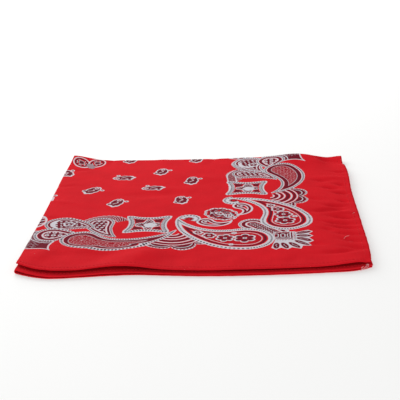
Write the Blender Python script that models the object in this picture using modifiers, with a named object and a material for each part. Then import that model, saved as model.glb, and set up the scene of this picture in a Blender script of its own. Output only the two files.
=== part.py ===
"""A square cotton bandana with hemmed edges, folded in quarters and lying flat.

The square is folded in half twice, so four layers lie on each other. The two
folds are on the left and at the back, and the hemmed edges are stacked in front
and on the right. The top quarter is a cloth wall that rolls over both folds.
The three quarters under it are one rounded solid. The hems are thicker strips
along the open edges, a pair of layers in each. The underside lies on z = 0.

Plan positions: across = distance from the left fold, back = distance from the
back fold, both measured on the folded square. +X points right, +Y to the back.
"""
import math

import bmesh
import bpy
import numpy as np

# ---------------------------------------------------------------- sizes (metres)
OPEN_SQUARE = 0.550          # the finished bandana, spread out
SIDE = OPEN_SQUARE / 2       # the folded square
CLOTH = 0.0010               # wall of one layer
SEAM_GAP = 0.0004            # between pieces that meet
HEM_WIDTH = 0.006
BACK_ROLL = 0.013            # the lower right hem starts this far from the back fold
TOP_HEM_THICK = 0.0016       # the upper pair of layers, turned twice
LOW_HEM_THICK = 0.0014       # the lower pair, pressed flat by the pile
LOW_HEM_INSET = 0.0015       # the lower right hem lies a little further in
FOLD_RADIUS = 0.00075        # left fold, to the middle of the cloth
FOLD_RETURN = 0.0025         # how far the cloth is followed past a fold
FIELD_HEIGHT = 0.0045        # height of the pile away from its edges
EDGE_REACH = 0.034           # how far an edge's own height is felt inwards
PILE_CLEARANCE = 0.0006      # the top layer lies this loosely on the pile

# Front edge: place along it, how far the upper and the lower pair of layers
# reach past the folded square, and the height of the pile there.
FRONT_EDGE = np.array([
    # across   upper    lower    height
    (0.000,   0.0010,  0.0049,  0.0060),
    (0.012,   0.0080,  0.0113,  0.0055),
    (0.027,   0.0120,  0.0160,  0.0050),
    (0.045,   0.0120,  0.0156,  0.0050),
    (0.074,   0.0082,  0.0124,  0.0066),
    (0.094,   0.0088,  0.0112,  0.0060),
    (0.116,   0.0110,  0.0127,  0.0047),
    (0.140,   0.0120,  0.0142,  0.0042),
    (0.180,   0.0109,  0.0138,  0.0042),
    (0.215,   0.0088,  0.0117,  0.0043),
    (0.243,   0.0063,  0.0090,  0.0046),
    (0.262,   0.0025,  0.0062,  0.0056),
    (0.275,  -0.0015,  0.0005,  0.0051),
])

# Back fold: place along it and the height of the pile.
BACK_FOLD = np.array([
    # across   height
    (0.000,   0.0100),
    (0.012,   0.0080),
    (0.030,   0.0049),
    (0.050,   0.0042),
    (0.107,   0.0040),
    (0.130,   0.0042),
    (0.165,   0.0050),
    (0.200,   0.0067),
    (0.230,   0.0092),
    (0.246,   0.0074),
    (0.258,   0.0049),
    (0.275,   0.0053),
])

# Left fold: distance from the back, how far it bulges to the left, and height.
LEFT_FOLD = np.array([
    # back     bulge    height
    (0.000,   0.0000,  0.0100),
    (0.022,   0.0012,  0.0078),
    (0.050,   0.0020,  0.0066),
    (0.104,   0.0014,  0.0057),
    (0.165,   0.0005,  0.0054),
    (0.240,   0.0002,  0.0055),
    (0.275,   0.0000,  0.0060),
])

# Right edge: distance from the back, how far it reaches right, and height.
RIGHT_EDGE = np.array([
    # back     reach    height
    (0.000,  -0.0020,  0.0053),
    (0.017,  -0.0020,  0.0042),
    (0.036,  -0.0003,  0.0047),
    (0.110,  -0.0009,  0.0047),
    (0.190,   0.0004,  0.0045),
    (0.250,   0.0009,  0.0047),
    (0.275,   0.0000,  0.0051),
])

# Soft folds of the pile: middle, direction, half length, half width, height.
SOFT_FOLDS = (
    # across  back    degrees  length  width   height
    (0.264,  0.009,   -38.0,   0.016,  0.006, -0.0012),   # crease at the back corner
    (0.212,  0.030,    62.0,   0.030,  0.014,  0.0009),   # roll that starts at the back
    (0.086,  0.108,    12.0,   0.028,  0.007, -0.0005),   # faint dents in the field
    (0.118,  0.060,   -25.0,   0.036,  0.012,  0.0006),
    (0.060,  0.190,    72.0,   0.040,  0.013,  0.0006),
    (0.160,  0.218,    80.0,   0.026,  0.014, -0.0005),
    (0.228,  0.205,    84.0,   0.030,  0.012,  0.0005),
    (0.050,  0.252,    10.0,   0.030,  0.008, -0.0006),   # hollow behind the front hem
)

# Puckers that the stitches draw in along the right hem.
PUCKER_COUNT = 20
PUCKER_FIRST = 0.022         # from the back fold
PUCKER_PITCH = 0.0122
PUCKER_SWAY = 0.0026         # unevenness of the pitch
PUCKER_HALF_WIDTH = 0.0031
PUCKER_HEIGHT = (0.00028, 0.00052)   # lowest and highest
PUCKER_LENGTH = (0.012, 0.030)       # shortest and longest

# Side of the hidden pile, from the floor up: share of its height, and how far it
# stays inside the left fold, the front hems, the right hem and the back fold. A
# groove parts the two layers under the top one from the lowest one. On the left,
# the lower fold's lip stands out under the upper fold.
PILE_SIDE = (
    # height  left     front    upper  right    back
    (0.00,   0.0011,  0.0080,  0.0,   0.0090,  0.0108),
    (0.10,   0.0004,  0.0069,  0.0,   0.0082,  0.0102),
    (0.28,   0.0002,  0.0069,  0.0,   0.0082,  0.0100),
    (0.40,   0.0004,  0.0090,  0.0,   0.0104,  0.0100),
    (0.52,   0.0012,  0.0069,  0.6,   0.0082,  0.0100),
    (0.60,   0.0046,  0.0067,  1.0,   0.0080,  0.0100),
    (0.86,   0.0044,  0.0069,  1.0,   0.0082,  0.0102),
    (1.00,   0.0056,  0.0082,  1.0,   0.0096,  0.0112),
)
PILE_RINGS = (0.95, 0.90, 0.84, 0.76, 0.65, 0.51, 0.36, 0.20)   # further rings, on top

# Columns of the top quarter inside the left fold: close together at the front
# edge's waves and at the puckers. The last one lies at the right hem's seam.
FIELD_COLUMNS = (0.010, 0.020, 0.030, 0.045, 0.058, 0.068, 0.078, 0.090, 0.104, 0.122,
                 0.148, 0.176, 0.200, 0.219, 0.232, 0.243, 0.252, 0.260,
                 SIDE - HEM_WIDTH - SEAM_GAP)
LEFT_BULGE_REACH = 0.030     # the left fold's bulge has faded out this far inside
ROWS = 88                    # from the back fold to the front hem
TURN_STEPS = 4               # steps round a fold
HEM_SECTIONS = 56
HEM_CORNERS = 8              # corners of a hem's section
HEM_END = 0.0004             # a hem's end stays this far inside the fold's outline
PILE_CORNER = 0.03           # rounding of the pile's corners, as a share of its side

COLLECTION = "bandana"


# ------------------------------------------------------------------- the form
def through(table, column, at):
    """Smooth curve through one column of a table, read at the given places."""
    knots, values = table[:, 0], table[:, column]
    slopes = np.gradient(values, knots)
    at = np.clip(at, knots[0], knots[-1])
    left = np.clip(np.searchsorted(knots, at, side="right") - 1, 0, len(knots) - 2)
    span = knots[left + 1] - knots[left]
    t = (at - knots[left]) / span
    rise = values[left + 1] - values[left]
    ease = t * t * (3 - 2 * t)
    lead = t * (1 - t) * (1 - t) * span * slopes[left]
    trail = -t * t * (1 - t) * span * slopes[left + 1]
    return values[left] + rise * ease + lead + trail


def fade(distance):
    """1 at an edge, falling softly to 0 inside."""
    return np.exp(-(np.maximum(distance, 0.0) / EDGE_REACH) ** 2)


def pile_height(across, back):
    """Height of the whole pile: its edges' heights blended inwards, and its folds."""
    from_left, from_back = fade(across), fade(back)
    from_right, from_front = fade(SIDE - across), fade(SIDE - back)
    left = through(LEFT_FOLD, 2, back) - FIELD_HEIGHT
    right = through(RIGHT_EDGE, 2, back) - FIELD_HEIGHT
    rear = through(BACK_FOLD, 1, across) - FIELD_HEIGHT
    front = through(FRONT_EDGE, 3, across) - FIELD_HEIGHT
    corners = (from_left * from_back * (BACK_FOLD[0, 1] - FIELD_HEIGHT)
               + from_right * from_back * (BACK_FOLD[-1, 1] - FIELD_HEIGHT)
               + from_left * from_front * (FRONT_EDGE[0, 3] - FIELD_HEIGHT)
               + from_right * from_front * (FRONT_EDGE[-1, 3] - FIELD_HEIGHT))
    height = (FIELD_HEIGHT + from_left * left + from_right * right
              + from_back * rear + from_front * front - corners)
    for middle_a, middle_b, degrees, length, width, rise in SOFT_FOLDS:
        turn = math.radians(degrees)
        along = (across - middle_a) * math.cos(turn) + (middle_b - back) * math.sin(turn)
        aside = (middle_b - back) * math.cos(turn) - (across - middle_a) * math.sin(turn)
        height = height + rise * np.exp(-(along / length) ** 2 - (aside / width) ** 2)
    return height


def pucker_height(across, back):
    """Small ridges square to the right hem, uneven in place, length and height."""
    total = np.zeros_like(across + back)
    low, high = PUCKER_HEIGHT
    short, long = PUCKER_LENGTH
    for number in range(PUCKER_COUNT):
        sway = math.sin(2.4 * number)
        size = 0.5 + 0.5 * math.sin(1.7 * number + 0.6)
        place = PUCKER_FIRST + PUCKER_PITCH * number + PUCKER_SWAY * sway
        length = short + (long - short) * size
        rise = low + (high - low) * (0.5 + 0.5 * math.sin(3.1 * number))
        inward = np.maximum(SIDE - across, 0.0) / length
        ridge = np.exp(-((back - place) / PUCKER_HALF_WIDTH) ** 2 - inward ** 2)
        total = total + rise * ridge
    return total


def left_edge(back):
    return -through(LEFT_FOLD, 1, back)


def right_edge(back):
    return SIDE + through(RIGHT_EDGE, 1, back)


def front_edge(across, column):
    return SIDE + through(FRONT_EDGE, column, across)


UPPER, LOWER = 1, 2          # columns of the front edge's table
ALONG = np.linspace(0.0, SIDE, 200)
MIDDLE_ACROSS = (left_edge(ALONG).min() + right_edge(ALONG).max()) / 2
MIDDLE_BACK = front_edge(ALONG, LOWER).max() / 2


def plan(across, back):
    """Plan position as x and y, with the origin in the middle of the pile."""
    return across - MIDDLE_ACROSS, MIDDLE_BACK - back


def left_turn():
    """Stations round the left fold, outside in: distance inwards and drop."""
    reach = FOLD_RADIUS + CLOTH / 2
    stations = [(reach + FOLD_RETURN, 2 * FOLD_RADIUS)]
    for step in range(TURN_STEPS + 1):
        turn = math.pi * (1 - step / TURN_STEPS)
        stations.append((reach - FOLD_RADIUS * math.sin(turn), FOLD_RADIUS * (1 - math.cos(turn))))
    return stations


def back_turn():
    """Stations round the back fold: turn in radians and the return on the floor."""
    stations = [(math.pi, FOLD_RETURN)]
    for step in range(TURN_STEPS + 1):
        stations.append((math.pi * (1 - step / TURN_STEPS), 0.0))
    return stations


def roll_radius(across):
    """Outer radius of the roll at the back fold, which is half the pile's height."""
    return pile_height(across, through(BACK_FOLD, 1, across) / 2) / 2


def over_back_fold(across, drop, thickness, turn, floor_run):
    """The middle of a layer on its way round the back fold."""
    outer = roll_radius(across)
    radius = outer - thickness / 2 - drop
    x, y = plan(across, outer + floor_run)
    return x, y + radius * np.sin(turn), outer + radius * np.cos(turn)


# ------------------------------------------------------------------ the meshes
def material(name, colour, roughness):
    made = bpy.data.materials.new(name)
    made.use_nodes = True
    shader = made.node_tree.nodes["Principled BSDF"]
    shader.inputs["Base Color"].default_value = (*colour, 1.0)
    shader.inputs["Roughness"].default_value = roughness
    shader.inputs["Metallic"].default_value = 0.0
    return made


def add_object(name, points, faces, finish):
    mesh = bpy.data.meshes.new(name)
    mesh.from_pydata([tuple(point) for point in points], [], faces)
    mesh.materials.append(finish)
    mesh.shade_smooth()
    mesh.set_sharp_from_angle(angle=math.radians(50))
    made = bpy.data.objects.new(name, mesh)
    bpy.data.collections[COLLECTION].objects.link(made)
    return made


def grid_faces(rows, columns):
    """Quads of a grid whose points run row by row."""
    return [(row * columns + column, (row + 1) * columns + column,
             (row + 1) * columns + column + 1, row * columns + column + 1)
            for row in range(rows - 1) for column in range(columns - 1)]


def tube_faces(rings, corners):
    """Quads between closed rings, and a cap at each end."""
    last = (rings - 1) * corners
    faces = [tuple(range(corners))[::-1], tuple(range(last, last + corners))]
    for ring in range(rings - 1):
        for corner in range(corners):
            following = (corner + 1) % corners
            faces.append((ring * corners + corner, ring * corners + following,
                          (ring + 1) * corners + following, (ring + 1) * corners + corner))
    return faces


def top_quarter(finish):
    """The printed quarter on top: rolls under at the left fold and round the back."""
    turned = left_turn()
    rows = []
    for turn, floor_run in back_turn()[:-1]:
        row = []
        for inward, drop in turned:
            across = left_edge(0.0) + inward
            row.append(over_back_fold(across, drop, CLOTH, turn, floor_run))
        for column in FIELD_COLUMNS:
            across = column + through(RIGHT_EDGE, 1, 0.0) * column / SIDE
            row.append(over_back_fold(across, 0.0, CLOTH, turn, floor_run))
        rows.append(row)
    for share in np.linspace(0.0, 1.0, ROWS):
        row = []
        places = [(inward, drop, 0.0) for inward, drop in turned]
        places += [(column, 0.0, column / SIDE) for column in FIELD_COLUMNS]
        for inward, drop, rightness in places:
            start = roll_radius(inward)
            stop = front_edge(inward, UPPER) - HEM_WIDTH - SEAM_GAP
            back = start + share * (stop - start)
            slack = through(RIGHT_EDGE, 1, back) * rightness
            bulge = left_edge(back) * max(0.0, 1 - inward / LEFT_BULGE_REACH)
            across = inward + slack + bulge
            x, y = plan(across, back)
            height = pile_height(across, back) + pucker_height(across, back)
            row.append((x, y, height - CLOTH / 2 - drop))
        rows.append(row)
    points = [point for row in rows for point in row]
    made = add_object("top_quarter", points, grid_faces(len(rows), len(rows[0])), finish)
    wall = made.modifiers.new("wall", "SOLIDIFY")
    wall.thickness = CLOTH
    wall.offset = 0.0
    wall.use_even_offset = True
    return made


def strip(name, middles, sides, thickness, finish):
    """A hem: a flat rounded tube along a line of middles.

    middles are (x, y, z) and sides the vectors across the hem. Both ends are closed.
    """
    half_width, half_thick = HEM_WIDTH / 2, thickness / 2
    section = []
    for point in range(HEM_CORNERS):
        turn = 2 * math.pi * (point + 0.5) / HEM_CORNERS
        section.append((math.copysign(abs(math.cos(turn)) ** 0.35, math.cos(turn)),
                        math.copysign(abs(math.sin(turn)) ** 0.75, math.sin(turn))))
    widest = max(abs(wide) for wide, tall in section)
    tallest = max(abs(tall) for wide, tall in section)
    points = []
    count = len(middles)
    for number, (middle, side) in enumerate(zip(middles, sides)):
        forward = np.subtract(middles[min(number + 1, count - 1)], middles[max(number - 1, 0)])
        up = np.cross(side, forward)
        up = up / np.linalg.norm(up)
        for wide, tall in section:
            offset = (np.multiply(side, wide / widest * half_width)
                      + up * (tall / tallest * half_thick))
            points.append(np.add(middle, offset))
    made = add_object(name, points, tube_faces(count, HEM_CORNERS), finish)
    make_outward(made)
    return made


def make_outward(made):
    """Point every face outwards."""
    shell = bmesh.new()
    shell.from_mesh(made.data)
    bmesh.ops.recalc_face_normals(shell, faces=shell.faces)
    shell.to_mesh(made.data)
    shell.free()


def front_hem(name, column, finish):
    """Hem of a pair of layers along the front, from the left fold to the corner."""
    upper = column == UPPER
    thickness = TOP_HEM_THICK if upper else LOW_HEM_THICK
    inset = HEM_END if upper else LOW_HEM_INSET
    middles = []
    for across in np.linspace(HEM_END, SIDE - inset, HEM_SECTIONS):
        back = front_edge(across, column) - HEM_WIDTH / 2
        x, y = plan(across, back)
        top = pile_height(across, back) if upper else LOW_HEM_THICK
        middles.append((x, y, top - thickness / 2))
    sides = [(0.0, 1.0, 0.0)] * len(middles)
    return strip(name, middles, sides, thickness, finish)


def top_right_hem(finish):
    """Hem of the upper pair: round the back fold and down to the front hem."""
    middles, sides = [], []
    inward = HEM_WIDTH / 2
    for turn, floor_run in back_turn()[:-1]:
        across = right_edge(0.0) - inward
        middles.append(over_back_fold(across, 0.0, TOP_HEM_THICK, turn, floor_run))
        sides.append((1.0, 0.0, 0.0))
    start = roll_radius(right_edge(0.0) - inward)
    corner = SIDE - inward
    stop = front_edge(corner, UPPER) - HEM_WIDTH - 2 * SEAM_GAP
    slant = (front_edge(corner, UPPER) - front_edge(SIDE, UPPER)) / inward
    for back in np.linspace(start, stop, ROWS):
        across = right_edge(back) - inward
        x, y = plan(across, back)
        height = pile_height(across, back) + pucker_height(across, back)
        middles.append((x, y, height - TOP_HEM_THICK / 2))
        turning = max(0.0, 1 - (stop - back) / (2 * HEM_WIDTH))
        sides.append((1.0, slant * turning, 0.0))
    return strip("top_right_hem", middles, sides, TOP_HEM_THICK, finish)


def lower_right_hem(finish):
    """Hem of the lower pair on the floor, from inside the back roll to the front."""
    middles = []
    stop = front_edge(SIDE, LOWER) - HEM_WIDTH - 3 * SEAM_GAP
    for back in np.linspace(BACK_ROLL, stop, HEM_SECTIONS // 2):
        across = right_edge(back) - HEM_WIDTH / 2 - LOW_HEM_INSET
        x, y = plan(across, back)
        middles.append((x, y, LOW_HEM_THICK / 2))
    sides = [(1.0, 0.0, 0.0)] * len(middles)
    return strip("lower_right_hem", middles, sides, LOW_HEM_THICK, finish)


def unit_outline():
    """Rounded unit square, counter-clockwise seen from above, denser in front."""
    corner = PILE_CORNER
    outline = []
    sides = (((corner, 0.0), (1 - corner, 0.0), 34), ((1.0, corner), (1.0, 1 - corner), 24),
             ((1 - corner, 1.0), (corner, 1.0), 26), ((0.0, 1 - corner), (0.0, corner), 24))
    turns = ((1 - corner, corner, -90), (1 - corner, 1 - corner, 0),
             (corner, 1 - corner, 90), (corner, corner, 180))
    for (start, stop, count), (middle_s, middle_t, degrees) in zip(sides, turns):
        for share in np.linspace(0.0, 1.0, count):
            outline.append((start[0] + share * (stop[0] - start[0]),
                            start[1] + share * (stop[1] - start[1])))
        for part in (1, 2):
            turn = math.radians(degrees + 30 * part)
            outline.append((middle_s + corner * math.cos(turn),
                            middle_t + corner * math.sin(turn)))
    return np.array(outline)


def folded_layers(finish):
    """The three hidden quarters as one rounded solid with a flat underside."""
    outline = unit_outline()

    def ring(scale, share, left, front, upper, right, rear):
        s = 0.5 + (outline[:, 0] - 0.5) * scale
        t = 0.5 + (outline[:, 1] - 0.5) * scale
        back = (1 - t) * SIDE
        start = left_edge(back) + left
        across = start + s * (right_edge(back) - right - start)
        lower_front, upper_front = front_edge(across, LOWER), front_edge(across, UPPER)
        ahead = lower_front + upper * (upper_front - lower_front) - front
        back = rear + (1 - t) * (ahead - rear)
        x, y = plan(across, back)
        height = pile_height(across, back) - CLOTH - PILE_CLEARANCE
        return np.column_stack((x, y, share * height))

    rings = [ring(1.0, *side) for side in PILE_SIDE]
    rings += [ring(scale, *PILE_SIDE[-1]) for scale in PILE_RINGS]
    faces = tube_faces(len(rings), len(outline))
    made = add_object("folded_layers", np.concatenate(rings), faces, finish)
    make_outward(made)
    return made


def main():
    for stale in list(bpy.data.objects):
        bpy.data.objects.remove(stale)
    collection = bpy.data.collections.new(COLLECTION)
    bpy.context.scene.collection.children.link(collection)
    printed = material("printed_cotton", (0.61, 0.015, 0.023), 0.85)
    under = material("cotton_reverse", (0.50, 0.015, 0.022), 0.88)
    hem = material("hemmed_cotton", (0.56, 0.013, 0.021), 0.87)
    top_quarter(printed)
    folded_layers(under)
    front_hem("top_front_hem", UPPER, hem)
    top_right_hem(hem)
    front_hem("lower_front_hem", LOWER, hem)
    lower_right_hem(hem)


main()
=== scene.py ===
# %% [markdown]
# # A cotton bandana, folded in quarters
# A bandana is one thin square of printed cotton with a narrow turned hem. Folded in
# half twice it becomes a pile of four layers, with two folds on the left, a roll at
# the back, and all the hems stacked in front and on the right. The solids of the
# frame give the pile's size and place. This script replaces them with real cloth.

# %% Load the frame
import math
from functools import partial, reduce

import bpy
import numpy as np
from mathutils import Matrix, Vector


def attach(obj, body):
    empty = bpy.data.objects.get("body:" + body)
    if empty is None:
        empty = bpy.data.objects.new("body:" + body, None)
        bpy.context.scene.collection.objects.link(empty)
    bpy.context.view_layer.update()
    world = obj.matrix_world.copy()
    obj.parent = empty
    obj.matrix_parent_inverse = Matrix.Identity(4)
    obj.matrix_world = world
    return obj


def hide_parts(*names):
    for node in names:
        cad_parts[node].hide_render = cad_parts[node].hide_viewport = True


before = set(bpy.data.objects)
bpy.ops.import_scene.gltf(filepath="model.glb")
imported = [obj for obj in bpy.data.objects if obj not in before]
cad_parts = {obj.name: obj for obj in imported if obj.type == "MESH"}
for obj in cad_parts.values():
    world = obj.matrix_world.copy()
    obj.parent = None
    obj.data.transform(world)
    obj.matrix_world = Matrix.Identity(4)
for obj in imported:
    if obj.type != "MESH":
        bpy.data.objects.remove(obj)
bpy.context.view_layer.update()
print("nodes:", sorted(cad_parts))

# %% [markdown]
# ## Camera
# The view is that of someone standing at a table: low, a little from the right, with
# a long lens, so the square's sides hardly run together. The camera is given by where
# it stands and by three turns, which a reader can change one at a time.

# %% Place the camera
LENS = 90.63                  # mm, on a 36 mm sensor
STANDS_AT = Vector((0.05377, -0.84139, 0.30981))
LOOKS_DOWN = math.radians(19.52)
LOOKS_LEFT = math.radians(3.66)
LEANS = math.radians(-1.89)

forward = Vector((-math.sin(LOOKS_LEFT) * math.cos(LOOKS_DOWN),
                  math.cos(LOOKS_LEFT) * math.cos(LOOKS_DOWN), -math.sin(LOOKS_DOWN)))
level = Vector((math.cos(LOOKS_LEFT), math.sin(LOOKS_LEFT), 0.0))
upright = level.cross(forward)
to_right = level * math.cos(LEANS) + upright * math.sin(LEANS)
to_top = upright * math.cos(LEANS) - level * math.sin(LEANS)
camera = bpy.data.objects.new("camera", bpy.data.cameras.new("camera"))
camera.data.lens = LENS
camera.data.sensor_width = 36.0
camera.data.clip_start = 0.01
camera.matrix_world = Matrix.Translation(STANDS_AT) @ Matrix(
    (to_right, to_top, -forward)).transposed().to_4x4()
bpy.context.scene.collection.objects.link(camera)
bpy.context.scene.camera = camera
print("camera height in mm:", round(1000 * STANDS_AT.z))

# %% [markdown]
# ## The form of the pile
# These tables are the ones that the solids were made from: the reach of the front
# edge, the heights along each side, and a few soft folds that cross the field. A smooth
# curve is drawn through each column, and the four sides are blended inwards.

# %% Sizes and tables (metres)
OPEN_SQUARE = 0.550
SIDE = OPEN_SQUARE / 2
CLOTH = 0.0003               # thickness of the cotton
FIELD_HEIGHT = 0.0045
EDGE_REACH = 0.034

FRONT_EDGE = np.array([
    # across   upper    lower    height
    (0.000,   0.0010,  0.0049,  0.0060),
    (0.012,   0.0080,  0.0113,  0.0055),
    (0.027,   0.0120,  0.0160,  0.0050),
    (0.045,   0.0120,  0.0156,  0.0050),
    (0.074,   0.0082,  0.0124,  0.0066),
    (0.094,   0.0088,  0.0112,  0.0060),
    (0.116,   0.0110,  0.0127,  0.0047),
    (0.140,   0.0120,  0.0142,  0.0042),
    (0.180,   0.0109,  0.0138,  0.0042),
    (0.215,   0.0088,  0.0117,  0.0043),
    (0.243,   0.0063,  0.0090,  0.0046),
    (0.262,   0.0025,  0.0062,  0.0056),
    (0.275,  -0.0015,  0.0005,  0.0051),
])
BACK_FOLD = np.array([
    # across   height
    (0.000,   0.0100),
    (0.012,   0.0080),
    (0.030,   0.0049),
    (0.050,   0.0042),
    (0.107,   0.0040),
    (0.130,   0.0042),
    (0.165,   0.0050),
    (0.200,   0.0067),
    (0.230,   0.0092),
    (0.246,   0.0074),
    (0.258,   0.0049),
    (0.275,   0.0053),
])
LEFT_FOLD = np.array([
    # back     bulge    height
    (0.000,   0.0000,  0.0100),
    (0.022,   0.0012,  0.0078),
    (0.050,   0.0020,  0.0066),
    (0.104,   0.0014,  0.0057),
    (0.165,   0.0005,  0.0054),
    (0.240,   0.0002,  0.0055),
    (0.275,   0.0000,  0.0060),
])
RIGHT_EDGE = np.array([
    # back     reach    height
    (0.000,  -0.0020,  0.0053),
    (0.017,  -0.0020,  0.0042),
    (0.036,  -0.0003,  0.0047),
    (0.110,  -0.0009,  0.0047),
    (0.190,   0.0004,  0.0045),
    (0.250,   0.0009,  0.0047),
    (0.275,   0.0000,  0.0051),
])
SOFT_FOLDS = (
    # across  back    degrees  length  width   height
    (0.264,  0.009,   -38.0,   0.016,  0.006, -0.0012),   # crease at the back corner
    (0.212,  0.030,    62.0,   0.030,  0.014,  0.0009),   # roll that starts at the back
    (0.086,  0.108,    12.0,   0.028,  0.007, -0.0005),   # faint dents in the field
    (0.118,  0.060,   -25.0,   0.036,  0.012,  0.0006),
    (0.060,  0.190,    72.0,   0.040,  0.013,  0.0006),
    (0.160,  0.218,    80.0,   0.026,  0.014, -0.0005),
    (0.228,  0.205,    84.0,   0.030,  0.012,  0.0005),
    (0.050,  0.252,    10.0,   0.030,  0.008, -0.0006),   # hollow behind the front hem
)
UPPER, LOWER = 1, 2          # columns of the front edge's table


def cubic(first, last, leaving, arriving, t):
    """Curve from one value to another, with its slopes at both ends."""
    return (first + (last - first) * (t * t * (3 - 2 * t))
            + t * (1 - t) * (1 - t) * leaving - t * t * (1 - t) * arriving)


def through(table, column, at):
    """Smooth curve through one column of a table: a cubic between neighbours, whose
    slopes at the rows are the mean slopes around them."""
    knots, values = table[:, 0], table[:, column]
    slopes = np.gradient(values, knots)
    at = np.clip(at, knots[0], knots[-1])
    left = np.clip(np.searchsorted(knots, at, side="right") - 1, 0, len(knots) - 2)
    span = knots[left + 1] - knots[left]
    return cubic(values[left], values[left + 1], span * slopes[left], span * slopes[left + 1],
                 (at - knots[left]) / span)


def mix(first, second, share):
    return first + (second - first) * share


def unit(arrows):
    """The same directions with a length of 1."""
    return arrows / np.linalg.norm(arrows, axis=-1, keepdims=True)


def length_along(path):
    """Length of a path up to each of its points."""
    return np.concatenate(([0.0], np.cumsum(np.linalg.norm(np.diff(path, axis=0), axis=-1))))


def bell(*shares):
    """A bell curve, from distances in one or two directions as shares of its reach."""
    return np.exp(-sum(share ** 2 for share in shares))


def fade(distance):
    """1 at an edge, falling inside as a bell curve."""
    return bell(np.maximum(distance, 0.0) / EDGE_REACH)


def ridges(across, back, rows):
    """Sum of long soft bells: each has a middle, a direction, a length, a width and a
    height, which is below nothing for a trough."""
    total = np.zeros(np.broadcast(across, back).shape)
    for middle_a, middle_b, degrees, length, width, rise in rows:
        turn = math.radians(degrees)
        along = (across - middle_a) * math.cos(turn) + (middle_b - back) * math.sin(turn)
        aside = (middle_b - back) * math.cos(turn) - (across - middle_a) * math.sin(turn)
        total = total + rise * bell(along / length, aside / width)
    return total


def pile_height(across, back):
    """Height of the pile: each side's own height fades inwards, what two sides share
    at a corner is taken off once, and the soft folds are added."""
    from_left, from_back = fade(across), fade(back)
    from_right, from_front = fade(SIDE - across), fade(SIDE - back)
    left = through(LEFT_FOLD, 2, back) - FIELD_HEIGHT
    right = through(RIGHT_EDGE, 2, back) - FIELD_HEIGHT
    rear = through(BACK_FOLD, 1, across) - FIELD_HEIGHT
    front = through(FRONT_EDGE, 3, across) - FIELD_HEIGHT
    corners = (from_left * from_back * (BACK_FOLD[0, 1] - FIELD_HEIGHT)
               + from_right * from_back * (BACK_FOLD[-1, 1] - FIELD_HEIGHT)
               + from_left * from_front * (FRONT_EDGE[0, 3] - FIELD_HEIGHT)
               + from_right * from_front * (FRONT_EDGE[-1, 3] - FIELD_HEIGHT))
    return (FIELD_HEIGHT + from_left * left + from_right * right + from_back * rear
            + from_front * front - corners + ridges(across, back, SOFT_FOLDS))


ALONG = np.linspace(0.0, SIDE, 200)
MIDDLE_ACROSS = (-through(LEFT_FOLD, 1, ALONG).max()
                 + SIDE + through(RIGHT_EDGE, 1, ALONG).max()) / 2
MIDDLE_BACK = (SIDE + through(FRONT_EDGE, LOWER, ALONG).max()) / 2
print("pile height in mm, back left and middle:",
      np.round(1000 * pile_height(np.array([0.0, 0.14]), np.array([0.0, 0.14])), 1))
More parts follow.
